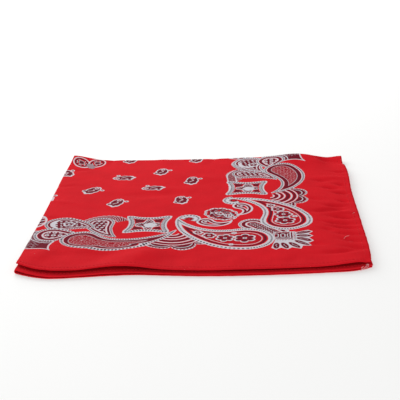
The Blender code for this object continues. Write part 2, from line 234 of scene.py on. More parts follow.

# %% [markdown]
# ## Creases and puckers
# A folded cloth keeps the marks of its packing, and a sewing machine gathers thin cotton
# a little as it hems it. They could be painted as bump, but they catch light from every
# side and break the edges' lines, so they are form. The main ones are listed one by one,
# uneven in length, depth and spacing. Finer ones beside the hems follow a rule.

# %% Creases, listed one by one (metres)
CREASES = (
    # across  back     degrees  length   width    height
    (0.2600, 0.0135,  -30.0,  0.0150,  0.0043, -0.0028),   # right margin, from the back
    (0.2660, 0.0040,  -24.0,  0.0110,  0.0054,  0.0007),
    (0.2480, 0.0200,  -40.0,  0.0100,  0.0068,  0.0010),
    (0.2671, 0.0520,  -18.7,  0.0080,  0.0030, -0.0015),
    (0.2600, 0.0700,  -14.0,  0.0140,  0.0041,  0.0013),
    (0.2484, 0.0766,  -14.3,  0.0070,  0.0032, -0.0015),
    (0.2658, 0.0895,  -34.5,  0.0062,  0.0024, -0.0020),
    (0.2557, 0.0974,  -22.4,  0.0080,  0.0030, -0.0025),
    (0.2638, 0.1130,  -22.5,  0.0070,  0.0024, -0.0025),
    (0.2402, 0.1274,  -34.4,  0.0090,  0.0035, -0.0013),
    (0.2648, 0.1351,  -36.2,  0.0064,  0.0024, -0.0020),
    (0.2568, 0.1457,  -12.0,  0.0090,  0.0027, -0.0025),
    (0.2510, 0.1562,   10.0,  0.0140,  0.0046, -0.0030),
    (0.2590, 0.1650,    2.0,  0.0120,  0.0032,  0.0015),
    (0.2607, 0.1753,  -18.5,  0.0100,  0.0027, -0.0025),
    (0.2570, 0.1883,  -17.0,  0.0130,  0.0028, -0.0028),
    (0.2600, 0.1984,  -18.2,  0.0120,  0.0026, -0.0025),
    (0.2467, 0.2024,  -20.8,  0.0070,  0.0028, -0.0015),
    (0.2607, 0.2123,  -22.5,  0.0120,  0.0030, -0.0025),
    (0.2636, 0.2281,  -26.7,  0.0100,  0.0028, -0.0020),
    (0.2338, 0.2336,  -30.6,  0.0080,  0.0035, -0.0013),
    (0.2659, 0.2434,  -18.8,  0.0090,  0.0030, -0.0020),
    (0.2540, 0.2515,   11.1,  0.0150,  0.0035, -0.0019),
    (0.0150, 0.2560,   66.0,  0.0160,  0.0095,  0.0018),   # front margin
    (0.0640, 0.2600,   64.0,  0.0190,  0.0135, -0.0025),
    (0.0980, 0.2590,   60.0,  0.0190,  0.0121,  0.0028),
    (0.1260, 0.2620,   76.0,  0.0130,  0.0095, -0.0009),
    (0.1720, 0.2680,   84.0,  0.0120,  0.0068,  0.0007),
    (0.2160, 0.2670,   70.0,  0.0110,  0.0054, -0.0007),
    (0.0090, 0.0420,   20.0,  0.0110,  0.0036, -0.0006),   # left fold
    (0.0070, 0.0880,    8.0,  0.0100,  0.0031, -0.0005),
    (0.0100, 0.1310,  -14.0,  0.0140,  0.0041,  0.0005),
    (0.0080, 0.1720,    4.0,  0.0090,  0.0031, -0.0005),
    (0.0060, 0.2210,   16.0,  0.0100,  0.0036, -0.0005),
    (0.0400, 0.0070,   84.0,  0.0090,  0.0038, -0.0005),   # back fold
    (0.0930, 0.0080,  104.0,  0.0120,  0.0048,  0.0005),
    (0.1430, 0.0070,   76.0,  0.0100,  0.0041, -0.0006),
    (0.1860, 0.0090,   60.0,  0.0150,  0.0050, -0.0005),
    (0.1000, 0.1130,   10.0,  0.0240,  0.0070, -0.0007),   # field
    (0.1060, 0.0980,    6.0,  0.0260,  0.0080,  0.0006),
    (0.0480, 0.1500,  -12.0,  0.0240,  0.0080, -0.0005),
    (0.1560, 0.0620,   16.0,  0.0240,  0.0090,  0.0005),
    (0.0000, 0.0000,  -45.0,  0.0180,  0.0140,  0.0017),   # back corner of the folds
)
PUCKER_COUNT = 46
PUCKER_FIRST = 0.006
PUCKER_PITCH = 0.0058
PUCKER_SWAY = 0.0016
PUCKER_HALF_WIDTH = 0.0013
PUCKER_HEIGHT = (0.00003, 0.00014)
PUCKER_LENGTH = (0.004, 0.010)


def pucker_rows(shift):
    """Places, lengths and heights of the fine puckers along one hem. Number n sits at a
    regular pitch plus a sway that goes with a sine of n, and so do its other sizes."""
    number = np.arange(PUCKER_COUNT)
    place = PUCKER_FIRST + PUCKER_PITCH * number + PUCKER_SWAY * np.sin(2.4 * number + shift)
    reach = mix(*PUCKER_LENGTH, 0.5 + 0.5 * np.sin(1.7 * number + shift))
    rise = mix(*PUCKER_HEIGHT, 0.5 + 0.5 * np.sin(3.1 * number - shift))
    return zip(place, reach, rise)


def crease_height(across, back):
    """Creases listed one by one, and fine bell ridges square to the right and front hems."""
    total = ridges(across, back, CREASES)
    for inward, along, shift in ((SIDE - across, back, 0.0), (SIDE - back, across, 1.1)):
        inward = np.maximum(inward, 0.0)
        for place, reach, rise in pucker_rows(shift):
            total = total + rise * bell((along - place) / PUCKER_HALF_WIDTH, inward / reach)
    return total


# %% [markdown]
# ## One sheet, folded twice
# The cloth is a single square, so it is made as a single surface. Each point of the
# open square has a station across and a station along. A station is either a share of
# the flat run between a fold and the hem, or a turn round the fold from 0 to half a
# circle. Two half turns at once give the corner where all four layers meet.

# %% The folded surface
UPPER_PAIR = 0.0013          # between the middles of the two upper layers
LOWER_PAIR = 0.34            # the lower pair opens to this share of the pile's height
LOWER_CORNER = 0.0011        # and by this much more at the front end of the left fold
LOWER_CORNER_REACH = (0.022, 0.045)            # across and back
INNER_ROLL_INSET = 0.0014    # the inner back fold lies this far inside the outer one
UNDER_FRONT_INSET = 0.0030   # the second layer ends this far behind the first
BASE_FRONT_INSET = 0.0011    # and the lowest this far behind the third
RIGHT_INSETS = (0.0, 0.0008, 0.0011, 0.0015)   # of the four layers, from the top down
LOWER_PUSH = 0.0022          # the lower pair's front corner stands out this much more
LOWER_PUSH_REACH = 0.011
LOWER_CHAMFER = 0.0010       # and its tip is bent in by this much
LOWER_CHAMFER_REACH = 0.0035
LOWER_START = 0.0022         # near the left fold its front edge stands out by this much
LOWER_START_REACH = 0.036
CORNER_DROP = 0.0024         # the top layer's front corner hangs down
CORNER_DROP_REACH = (0.0055, 0.010)
CREASE_SHARE = 0.70          # of the creases, how much the second layer shows
NEAREST = 1.2                # two layers' middles stay this many cloths apart
HEM_WIDTH = 0.0052
HEM_EDGE = 0.00045           # the rolled edge stands this far beyond the sheet's own
HEM_RISE = 0.00012           # the turned cloth lifts the layer above it
EDGE_RISE = 0.00045          # and the edge stands up a little over its last centimetre
EDGE_RISE_REACH = 0.009
STITCH_DIP = 0.00010         # the stitches pull the cloth down
STITCH_DIP_HALF_WIDTH = 0.0005
STITCH_DIP_INSIDE = 0.0003   # from the hem's inner end to the dip's middle
HEM_END = (0.0007, 0.0009)   # where the rise over a hem starts to end, and over what length
UPPER_DRAW = 0.0010          # the upper front edge is drawn back by this much


def layer_levels(across, back):
    """Heights of the middles of the four layers, from the top down."""
    height = pile_height(across, back)
    creases = crease_height(across, back)
    reach_across, reach_back = CORNER_DROP_REACH
    hang = CORNER_DROP * bell(np.maximum(SIDE - across, 0) / reach_across,
                              np.maximum(SIDE - back, 0) / reach_back)
    top = height + creases - hang - CLOTH / 2
    second = height + creases * CREASE_SHARE - CLOTH / 2 - UPPER_PAIR
    corner_across, corner_back = LOWER_CORNER_REACH
    lift = LOWER_CORNER * bell(across / corner_across, (SIDE - back) / corner_back)
    third = CLOTH / 2 + LOWER_PAIR * height + lift
    base = np.full_like(third, CLOTH / 2)
    second = np.maximum(second, third + NEAREST * CLOTH)
    top = np.maximum(top, second + NEAREST * CLOTH)
    return top, second, third, base


def hem_relief(inward):
    """Rise of a layer over its hem: a soft step that ends at the seam, less a narrow
    bell where the stitches pull the cloth down."""
    step_down = np.clip((inward - HEM_WIDTH + HEM_END[0]) / HEM_END[1], 0.0, 1.0)
    dip = STITCH_DIP * bell((inward - HEM_WIDTH + STITCH_DIP_INSIDE) / STITCH_DIP_HALF_WIDTH)
    soft = EDGE_RISE * bell(inward / EDGE_RISE_REACH)
    return soft + HEM_RISE * (1 - step_down * step_down * (3 - 2 * step_down)) - dip


def folded(share_across, turn_across, share_along, turn_along):
    """Places of the sheet's points, and where each lies on the open square.

    A turn goes from 0 to pi round a fold and its share is 0 there. On its way round,
    the height goes from one layer to the next as half a cosine, and the distance past
    the flat run goes as a sine, so the section of a fold is half an ellipse.
    """
    inner = (1 - np.cos(turn_across)) / 2
    low = (1 - np.cos(turn_along)) / 2
    nominal = share_across * SIDE
    rear = pile_height(nominal, through(BACK_FOLD, 1, nominal) / 2)
    outer_radius = rear / 2 - CLOTH / 2
    inner_radius = (rear * (1 - LOWER_PAIR) - UPPER_PAIR - CLOTH) / 2
    roll = mix(outer_radius, inner_radius, inner)
    crest = inner * INNER_ROLL_INSET
    upper_front = (SIDE + through(FRONT_EDGE, UPPER, nominal) - UPPER_DRAW
                   - inner * UNDER_FRONT_INSET)
    chamfer = (LOWER_CHAMFER * bell((SIDE - nominal) / LOWER_CHAMFER_REACH)
               - LOWER_START * bell(nominal / LOWER_START_REACH))
    lower_front = (SIDE + through(FRONT_EDGE, LOWER, nominal) - chamfer
                   - (1 - inner) * BASE_FRONT_INSET)
    front = mix(upper_front, lower_front, low) - HEM_EDGE
    flat_back = crest + roll + share_along * (front - crest - roll)

    lower_gap = LOWER_PAIR * through(LEFT_FOLD, 2, flat_back)
    fold_radius = mix(UPPER_PAIR, lower_gap, low) / 2
    upper_inset = mix(RIGHT_INSETS[0], RIGHT_INSETS[1], inner)
    lower_inset = (mix(RIGHT_INSETS[3], RIGHT_INSETS[2], inner)
                   - LOWER_PUSH * bell((front - flat_back) / LOWER_PUSH_REACH))
    inset = mix(upper_inset, lower_inset, low) + HEM_EDGE
    right = SIDE + through(RIGHT_EDGE, 1, flat_back) - inset
    left = -through(LEFT_FOLD, 1, flat_back) + fold_radius
    flat_across = left + share_across * (right - left)

    relief = np.maximum(hem_relief((1 - share_across) * (right - left)),
                        hem_relief((1 - share_along) * (front - crest - roll)))
    top, second, third, base = layer_levels(flat_across, flat_back)
    height = mix(mix(top + relief, second, inner), mix(base, third + relief, inner), low)
    across = flat_across - fold_radius * np.sin(turn_across)
    back = flat_back - roll * np.sin(turn_along)
    x, y = across - MIDDLE_ACROSS, MIDDLE_BACK - back
    places = np.stack(np.broadcast_arrays(x, y, height), axis=-1)

    edge = left - fold_radius
    on_u = np.where(turn_across < math.pi / 2, flat_across, 2 * edge - flat_across)
    on_u = np.where(share_across > 0, on_u, edge + fold_radius * (1 - 2 * turn_across / math.pi))
    on_v = np.where(turn_along < math.pi / 2, flat_back, -flat_back)
    on_v = np.where(share_along > 0, on_v, roll * (1 - 2 * turn_along / math.pi))
    return places, np.stack(np.broadcast_arrays(on_u, on_v), axis=-1)


HEM_STEPS = np.array([0.0, 0.0012, 0.0026, 0.0040, 0.0045, 0.0049, 0.0053, 0.0060, 0.0074])


def stations(near, turns, far):
    """Shares and turns along one direction of the sheet: a run from the hem to the fold,
    the way round it, and the run away from it. The steps are finest at the hem's seam."""
    hem = 1 - HEM_STEPS / SIDE
    run_in = np.concatenate((hem, np.linspace(hem[-1], 0.0, near + 1)[1:-1]))
    run_out = np.concatenate((np.linspace(0.0, hem[-1], far + 1)[1:-1], hem[::-1]))
    share = np.concatenate((run_in, np.zeros(turns + 1), run_out))
    turn = np.concatenate((np.zeros(len(run_in)), np.linspace(0, math.pi, turns + 1),
                           np.full(len(run_out), math.pi)))
    return share, turn


def normals_of(places):
    """Unit normals of the sheet, out of its printed side: the cross product of the
    grid's two directions of difference."""
    return unit(np.cross(np.gradient(places, axis=1), np.gradient(places, axis=0)))


# %% [markdown]
# ## From grids to meshes
# A thin cloth is two grids, its printed face and its reverse, joined by a narrow rim.
# Building both by hand costs little and gives each side its own place on the baked
# picture, which Solidify would not: it lays the reverse over the face.

# %% Mesh helpers
def new_object(name, points, faces, corner_maps=(), finishes=None, inside=None):
    """A mesh object from points and faces, with UV maps given for each face's corners
    and, for a piece of two materials, the material's number for each face. A closed
    piece gives the number of one face and a place inside, and is turned to face out."""
    mesh = bpy.data.meshes.new(name)
    mesh.from_pydata(points.tolist(), [], [list(face) for face in faces])
    for label, values in corner_maps:
        layer = mesh.uv_layers.new(name=label)
        layer.data.foreach_set("uv", np.asarray(values, dtype=np.float32).ravel())
    if finishes is not None:
        mesh.polygons.foreach_set("material_index", finishes.astype(np.int32))
    if inside:
        number, place = inside
        first, second, third = points[faces[number][:3]]
        if np.dot(np.cross(second - first, third - first), first - place) < 0:
            mesh.flip_normals()
    mesh.shade_smooth()
    made = bpy.data.objects.new(name, mesh)
    bpy.context.scene.collection.objects.link(made)
    return made


def grid_quads(rows, columns, start=0):
    """Quads of a grid whose points run row by row, from a starting number."""
    numbers = start + np.arange(rows * columns).reshape(rows, columns)
    return np.stack((numbers[:-1, :-1], numbers[1:, :-1], numbers[1:, 1:], numbers[:-1, 1:]),
                    axis=-1).reshape(-1, 4)


def rim_quads(rows, columns, start):
    """Quads that join the border of one grid to the border of its twin."""
    numbers = np.arange(rows * columns).reshape(rows, columns)
    border = np.concatenate((numbers[0, :-1], numbers[:-1, -1], numbers[-1, :0:-1],
                             numbers[:0:-1, 0]))
    following = np.roll(border, -1)
    return np.stack((border, following, start + following, start + border), axis=-1)


def tube_faces(rings, sides):
    """Quads of a tube whose points run ring by ring, and the polygons that close it."""
    numbers = np.arange(rings * sides).reshape(rings, sides)
    following = np.roll(numbers, -1, axis=1)
    quads = np.stack((numbers[:-1], following[:-1], following[1:], numbers[1:]), axis=-1)
    return quads.reshape(-1, 4), np.stack((numbers[0, ::-1], numbers[-1]))


def spokes(side, up, count):
    """Arrows from a circle's middle to its points, from its two directions."""
    turn = np.arange(count) / count * 2 * math.pi
    return np.cos(turn)[:, None] * side[..., None, :] + np.sin(turn)[:, None] * up[..., None, :]

# %% The sheet's own mesh
ACROSS_STATIONS = stations(near=134, turns=10, far=28)
ALONG_STATIONS = stations(near=172, turns=14, far=20)
FACE_SHARE = 0.93            # of the baked picture's width, for the printed face
HIDDEN_SHARE = 0.04          # of each direction of that, for what lies past a fold
RIM_STRIP = (0.936, 0.944)   # where the cut edge goes on the picture
REVERSE_STRIP = (0.95, 1.0)
PAST_FOLD = 0.008            # what lies further past a fold counts as hidden
FAR_END = 0.292              # no point of the cloth lies further from the folds
RIM_FILL = 0.8               # of the step between two faces of the rim, on the picture


def on_picture(place):
    """A place along one side of the square, as a share of the baked picture. The visible
    quarter, from a little past the fold to the hem, gets nearly all of it."""
    seen = HIDDEN_SHARE + (place + PAST_FOLD) / (FAR_END + PAST_FOLD) * (1 - HIDDEN_SHARE)
    unseen = (place + FAR_END) / (FAR_END - PAST_FOLD) * HIDDEN_SHARE
    return np.where(place > -PAST_FOLD, seen, unseen)


def cloth_sheet():
    """The whole square: the folded surface moved out by half its thickness each way."""
    share_across, turn_across = (part[:, None] for part in ACROSS_STATIONS)
    share_along, turn_along = (part[None, :] for part in ALONG_STATIONS)
    places, on_square = folded(share_across, turn_across, share_along, turn_along)
    rows, columns = places.shape[:2]
    outward = normals_of(places)
    points = np.concatenate([(places + outward * side * CLOTH / 2).reshape(-1, 3)
                             for side in (1, -1)])
    count = rows * columns
    faces = np.concatenate((grid_quads(rows, columns)[:, ::-1], grid_quads(rows, columns, count),
                            rim_quads(rows, columns, count)[:, ::-1]))
    kinds = np.repeat([0, 1, 2], [(rows - 1) * (columns - 1)] * 2 + [2 * (rows + columns) - 4])

    flat = np.tile(on_square.reshape(-1, 2), (2, 1))
    printed = (flat / OPEN_SQUARE + 0.5)[faces]
    picture = on_picture(flat)[faces]
    low, high = REVERSE_STRIP
    picture[..., 0] = np.where(kinds[:, None] == 0, picture[..., 0] * FACE_SHARE,
                               low + picture[..., 0] * (high - low))
    rim = kinds == 2
    low, high = RIM_STRIP
    way = np.arange(rim.sum())[:, None] / rim.sum() + np.array([0, 1, 1, 0]) * (RIM_FILL / rim.sum())
    picture[rim] = np.stack(np.broadcast_arrays(np.array([low, low, high, high]), way), axis=-1)
    return points, faces, printed, picture, np.minimum(kinds, 1)


points, faces, printed, picture, finishes = cloth_sheet()
cloth = new_object("folded_sheet", points, faces, [("Print", printed), ("OFBake", picture)],
                   finishes)
print("sheet triangles:", 2 * len(faces))

# %% [markdown]
# ## Hems
# A hem is the cloth's edge turned over twice towards the reverse side and sewn down. It
# could be a thickened border of the sheet, but a turned edge has a round roll in front
# and a clear end inside. So each hem is a strip of its own whose section wraps round the
# sheet's edge, and it follows the sheet round its folds.

# %% Four hems
HEM_SECTION = 0.001 * np.array([
    # inward  outward from the middle of the cloth
    (5.20, -0.20), (2.60, -0.20), (0.02, -0.20), (-0.03, -0.10), (-0.03, 0.10), (-0.10, 0.15),
    (-0.30, 0.12), (-0.45, -0.10), (-0.48, -0.35), (-0.38, -0.52), (-0.15, -0.62),
    (2.50, -0.62), (5.00, -0.62), (5.25, -0.50), (5.30, -0.35),
])
SEAM_REACH = 0.0040          # where the direction inwards is read
RIGHT_HEM_STARTS = 0.0056    # behind the front edge, inside the front hem
HEM_SWELL = 0.12             # the roll grows and shrinks by this share
HEM_WANDER = 0.00012         # and its edge wanders by this much
HEM_WAVES = (0.0019, 0.0083, 0.0127)           # lengths of the waves that it follows
ROLL_STARTS = 0.0002         # below the middle of the cloth
WANDER_STARTS = 0.00005      # outside the sheet's edge


def edge_frame(right_side, beyond_fold):
    """Points of one edge of the sheet, and the directions inwards, along and out of the
    printed side there. The edge is the end of one direction of the sheet at a turn of
    nothing or half a circle, and runs through all stations of the other."""
    turn = math.pi if beyond_fold else 0.0
    shares, turns = ALONG_STATIONS if right_side else ACROSS_STATIONS
    if right_side:
        kept = shares < 1 - RIGHT_HEM_STARTS / SIDE
        shares, turns = shares[kept], turns[kept]
    ends = []
    for inward in (0.0, SEAM_REACH):
        share = 1 - inward / SIDE
        order = (share, turn, shares, turns) if right_side else (shares, turns, share, turn)
        ends.append(folded(*(np.asarray(part) for part in order))[0])
    edge, inside = ends
    inward = unit(inside - edge)
    along = unit(np.gradient(edge, axis=0))
    out = unit(np.cross(inward, along) * (1 if right_side == beyond_fold else -1))
    return edge, inward, along, out


def hem_strip(name, right_side, beyond_fold):
    """The hem's section carried along one edge of the sheet and closed at both ends. The
    roll below the cloth swells, and its edge wanders, with a product of two sines."""
    edge, inward, _, out = edge_frame(right_side, beyond_fold)
    run = length_along(edge)
    short, middling, long = (run[:, None] / wave for wave in HEM_WAVES)
    wave = np.sin(short + 2.0 * np.sin(middling)) * np.cos(long)
    from_edge, outward = HEM_SECTION.T
    outward = (np.maximum(outward, -ROLL_STARTS)
               + np.minimum(outward + ROLL_STARTS, 0.0) * (1 + HEM_SWELL * wave))
    from_edge = from_edge + HEM_WANDER * wave * (from_edge < -WANDER_STARTS)
    shape = edge[:, None] + from_edge[..., None] * inward[:, None] + outward[..., None] * out[:, None]
    rows, columns = shape.shape[:2]
    quads, caps = tube_faces(rows, columns)
    girth = length_along(np.vstack((HEM_SECTION, HEM_SECTION[:1])))
    place = np.stack(np.broadcast_arrays(girth, run[:, None]), -1) / OPEN_SQUARE
    corners = np.stack((place[:-1, :-1], place[:-1, 1:], place[1:, 1:], place[1:, :-1]), 2)
    printed = np.concatenate((corners.reshape(-1, 2), np.tile(place[0, :-1], (2, 1))))
    print(name, "length in mm:", round(1000 * run[-1]))
    return new_object(name, shape.reshape(-1, 3), quads.tolist() + caps.tolist(),
                      [("Print", printed)], inside=(rows // 2 * columns, shape[rows // 2].mean(axis=0)))


HEMS = {
    # name: on the right or not, beyond the fold or not, the node that it replaces
    "hem_front_upper": (False, False, "top_front_hem"),
    "hem_front_lower": (False, True, "lower_front_hem"),
    "hem_right_outer": (True, False, "top_right_hem"),
    "hem_right_inner": (True, True, "lower_right_hem"),
}
hems = {name: hem_strip(name, *row[:2]) for name, row in HEMS.items()}

# %% [markdown]
# ## Stitches and loose threads
# A lockstitch shows as a row of short threads, each pulled into the cloth at both ends.
# One small capsule is worked out once and set down along every hem as a single array of
# points. A few threads have come loose, two near the right hem and three at the front
# corner.

# %% Stitches
STITCH_PITCH = 0.0029
STITCH_LENGTH = 0.0024
THREAD_RADIUS = 0.00016
STITCH_SIDES = 6
STITCH_RISE = 0.6            # of the thread's radius, above the cloth
SEAM_INSIDE = 0.0006         # from the hem's inner end to the seam
# share of the half length, share of the radius and sinking in radii, along one stitch
STITCH_RINGS = np.array([(-1.0, 0.35, 1.3), (-0.72, 0.85, 0.3), (0.0, 1.0, 0.0),
                         (0.72, 0.85, 0.3), (1.0, 0.35, 1.3)])


def seam_places():
    """Middles of all stitches on the printed side, with the directions along the seam
    and out of the cloth there."""
    found = []
    for row in HEMS.values():
        edge, inward, along, out = edge_frame(*row[:2])
        run = length_along(edge)
        marks = np.arange(STITCH_PITCH, run[-1] - STITCH_PITCH, STITCH_PITCH)
        seam = edge + inward * (HEM_WIDTH - SEAM_INSIDE) + out * (CLOTH / 2)
        parts = [np.stack([np.interp(marks, run, part[:, axis]) for axis in range(3)], -1)
                 for part in (seam, along, out)]
        clear = parts[0][:, 2] > CLOTH           # those under the pile are pressed flat
        found.append([part[clear] for part in parts])
    return [np.concatenate(parts) for parts in zip(*found)]


def stitching():
    """Every stitch: rings of a capsule along the seam, which sinks at its two ends."""
    middle, along, out = seam_places()
    along = unit(along)
    out = unit(out - along * (out * along).sum(-1, keepdims=True))
    sizes = STITCH_RINGS * (STITCH_LENGTH / 2, THREAD_RADIUS, THREAD_RADIUS)
    reach, radius, sink = sizes.T[:, None, :, None, None]
    points = (middle[:, None, None] + along[:, None, None] * reach
              + spokes(np.cross(along, out), out, STITCH_SIDES)[:, None] * radius
              + out[:, None, None] * (STITCH_RISE * THREAD_RADIUS - sink)).reshape(-1, 3)
    starts = np.arange(len(middle)) * len(STITCH_RINGS) * STITCH_SIDES
    faces = []
    for part in tube_faces(len(STITCH_RINGS), STITCH_SIDES):
        faces += (part + starts[:, None, None]).reshape(-1, part.shape[1]).tolist()
    print("stitches:", len(middle))
    return new_object("hem_stitching", points, faces, inside=(0, middle[0]))


stitches = stitching()

# %% Loose threads
LOOSE_THREADS = {
    # name: (radius, on the cloth or not, points as across, back and height above the
    # cloth or the floor)
    "thread_field": (0.00014, True, ((0.2577, 0.2238, 0.0001), (0.2590, 0.2220, 0.0004),
                                     (0.2606, 0.2205, 0.0003), (0.2624, 0.2197, 0.0001))),
    "thread_hem": (0.00014, True, ((0.2694, 0.1690, 0.0002), (0.2708, 0.1674, 0.0004),
                                   (0.2722, 0.1662, 0.0001))),
    "thread_corner_long": (0.00019, False, ((0.2654, 0.2814, 0.0008), (0.2668, 0.2808, 0.0014),
                                            (0.2686, 0.2796, 0.0021), (0.2702, 0.2781, 0.0030),
                                            (0.2716, 0.2766, 0.0036))),
    "thread_corner_short": (0.00018, False, ((0.2656, 0.2816, 0.0008), (0.2668, 0.2806, 0.0017),
                                             (0.2666, 0.2798, 0.0026), (0.2682, 0.2788, 0.0032))),
    "thread_corner_loop": (0.00016, False, ((0.2696, 0.2786, 0.0014), (0.2710, 0.2784, 0.0022),
                                            (0.2722, 0.2772, 0.0032), (0.2714, 0.2764, 0.0040),
                                            (0.2700, 0.2768, 0.0034))),
}
THREAD_STEPS = 8             # between two of a thread's points
THREAD_SIDES = 8


def smooth_path(knots):
    """Cubic between neighbouring points, each leaving along the line between the points
    before and after it."""
    slopes = np.gradient(knots, axis=0)
    share = np.linspace(0.0, 1.0, THREAD_STEPS + 1)[:-1, None]
    spans = [cubic(knots[n], knots[n + 1], slopes[n], slopes[n + 1], share)
             for n in range(len(knots) - 1)]
    return np.concatenate(spans + [knots[-1:]])


def thread_object(name, radius, on_top, knots):
    """A round tube along a smooth path. Its radius goes as the root of 1 less an eighth
    power of the way from the middle, so it stays even and closes at both ends."""
    across, back, height = np.array(knots).T
    if on_top:
        height = height + layer_levels(across, back)[0] + CLOTH / 2 + radius
    path = smooth_path(np.stack((across - MIDDLE_ACROSS, MIDDLE_BACK - back, height), -1))
    along = unit(np.gradient(path, axis=0))
    side = unit(np.cross(along, (0.0, 0.0, 1.0)))
    width = radius * np.sqrt(np.clip(1 - np.linspace(-1, 1, len(path)) ** 8, 0.02, 1.0))
    points = (path[:, None]
              + width[:, None, None] * spokes(side, np.cross(side, along), THREAD_SIDES))
    quads, caps = tube_faces(len(path), THREAD_SIDES)
    return new_object(name, points.reshape(-1, 3), quads.tolist() + caps.tolist(),
                      inside=(0, path[0]))


threads = [thread_object(name, *shape) for name, shape in LOOSE_THREADS.items()]
print("loose threads:", len(threads))

# %% [markdown]
# ## Formulas as shader nodes
# The print is drawn by formulas, so it stays sharp at any distance and needs no
# picture. Wiring hundreds of Math nodes by hand is slow to write and hard to read, so a
# small class lets a formula be written as plain arithmetic, and each step adds a node.

# %% Arithmetic that builds nodes
WRITING = {"tree": None}     # the node tree that formulas are written into
INK_EDGE = 0.18              # mm over which the edge of the ink fades


class Value:
    """A number that the shader works out at each point, kept as the socket it leaves."""

    def __init__(self, socket):
        self.socket = socket

    __add__ = __radd__ = lambda self, other: step("ADD", self, other)
    __mul__ = __rmul__ = lambda self, other: step("MULTIPLY", self, other)
    __sub__ = lambda self, other: step("SUBTRACT", self, other)
    __rsub__ = lambda self, other: step("SUBTRACT", other, self)


def plug(socket, value):
    """Link a Value or an output to an input, or set a plain number or colour there."""
    value = getattr(value, "socket", value)
    if isinstance(value, bpy.types.NodeSocket):
        WRITING["tree"].links.new(value, socket)
    else:
        socket.default_value = value


def feed(node, **inputs):
    """Plug a node's inputs, each named with _ in place of a space."""
    for label, value in inputs.items():
        plug(node.inputs[label.replace("_", " ")], value)
    return node


def new_node(kind, group=None, **inputs):
    """A shader node with its inputs plugged, and with its group if it is one."""
    node = WRITING["tree"].nodes.new("ShaderNode" + kind)
    if group:
        node.node_tree = group
    return feed(node, **inputs)


def step(operation, *values, clamp=False):
    """One Math node."""
    node = new_node("Math")
    node.operation = operation
    node.use_clamp = clamp
    for socket, value in zip(node.inputs, values):
        plug(socket, value)
    return Value(node.outputs[0])


size, sine, cosine = (partial(step, name) for name in ("ABSOLUTE", "SINE", "COSINE"))
angle = partial(step, "ARCTAN2")         # of y and x
over = partial(step, "GREATER_THAN")     # 1 where the first is more, otherwise 0


def least(*values):
    return reduce(partial(step, "MINIMUM"), values)


def most(*values):
    return reduce(partial(step, "MAXIMUM"), values)


def length(x, y):
    return step("SQRT", step("MULTIPLY_ADD", y, y, x * x))


def raised(x, power):
    return step("POWER", most(x, 0.0), power)


def blend(first, second, share):
    return step("MULTIPLY_ADD", second - first, share, first)


def centred(x, pitch):
    """Distance to the nearest multiple of a pitch, with its sign."""
    return step("WRAP", x, pitch / 2, -pitch / 2)


def turned(x, y, centre, degrees):
    """Place seen from a centre, along axes turned by some degrees."""
    c, s = math.cos(math.radians(degrees)), math.sin(math.radians(degrees))
    along = step("MULTIPLY_ADD", x, c, -centre[0] * c - centre[1] * s)
    aside = step("MULTIPLY_ADD", x, -s, centre[0] * s - centre[1] * c)
    return step("MULTIPLY_ADD", y, s, along), step("MULTIPLY_ADD", y, c, aside)


def new_group(name, inputs, outputs):
    """An empty node group, which formulas are now written into, with its named sockets."""
    tree = bpy.data.node_groups.new(name, "ShaderNodeTree")
    for kind, labels in (("INPUT", inputs), ("OUTPUT", outputs)):
        for label, form in labels.items():
            tree.interface.new_socket(label, in_out=kind, socket_type="NodeSocket" + form)
    WRITING["tree"] = tree
    return tree, tree.nodes.new("NodeGroupInput").outputs, tree.nodes.new("NodeGroupOutput").inputs

# %% [markdown]
# ## Shapes that the print is made of
# The border is drawn with a few old shapes: the boteh, which is a drop with a bent tip,
# beaded borders, and small flowers. Each is a distance to an outline in millimetres, so
# a border of any width is a band of that distance. A motif is a generator: each of its
# shapes gives its cover, and then its white, dark red and black ink.

# %% Bands, stripes and beads
BEAD_PITCH = 2.4             # mm
BEAD_RADIUS = 0.80
BEAD_DEPTH = 0.40            # of a border's width, from its rim to the beads
LOBE = 0.5                   # mm by which the rim swells between two beads
PAST_RIM = 9.0               # a border's white goes on this far, and its cover ends it
PAST_TAIL = 60.0             # mm that are added to a distance one spine past the tail


def within(distance):
    """1 inside an outline, 0 outside, with a soft step as wide as the ink's edge."""
    return step("MULTIPLY_ADD", distance, -0.5 / INK_EDGE, 0.5, clamp=True)


def band(distance, low, high):
    """1 where a distance lies between two values."""
    off = size(distance - (low + high) / 2)
    return step("MULTIPLY_ADD", off, -0.5 / INK_EDGE, 0.5 + (high - low) / 4 / INK_EDGE, clamp=True)


def bands(distance, *ranges):
    return most(*(band(distance, low, high) for low, high in ranges))


def stripes(x, pitch, half_width):
    return within(size(centred(x, pitch)) - half_width)


def lattice(x, y, wide, deep):
    """Distance to the nearest knot of a lattice."""
    return length(centred(x, wide), centred(y, deep))


def beads(distance, way, width, pitch=BEAD_PITCH):
    """A white border with a lobed rim and a row of black beads: its cover and inks."""
    rim = distance - size(sine(way * (math.pi / pitch))) * LOBE
    bead = length(centred(way, pitch), (distance + width * BEAD_DEPTH) * 0.9) - BEAD_RADIUS
    return within(rim), band(distance, -width, PAST_RIM), within(bead)


def layered(rim, way, border, dark, line, depth, marks):
    """A drop filled in layers: beads, a dark band, a white line, and from some depth on
    a dark inside with white marks."""
    cover, white, black = beads(rim, way, border)
    inner = within(rim + depth)
    marks = marks * inner
    return (cover, most(white, band(rim, *line), marks),
            most(band(rim, *dark), inner) * (1.0 - marks), black)


# %% Drops and blossoms
def polar(centre, radius, degrees):
    turn = math.radians(degrees)
    return centre[0] + radius * math.cos(turn), centre[1] + radius * math.sin(turn)


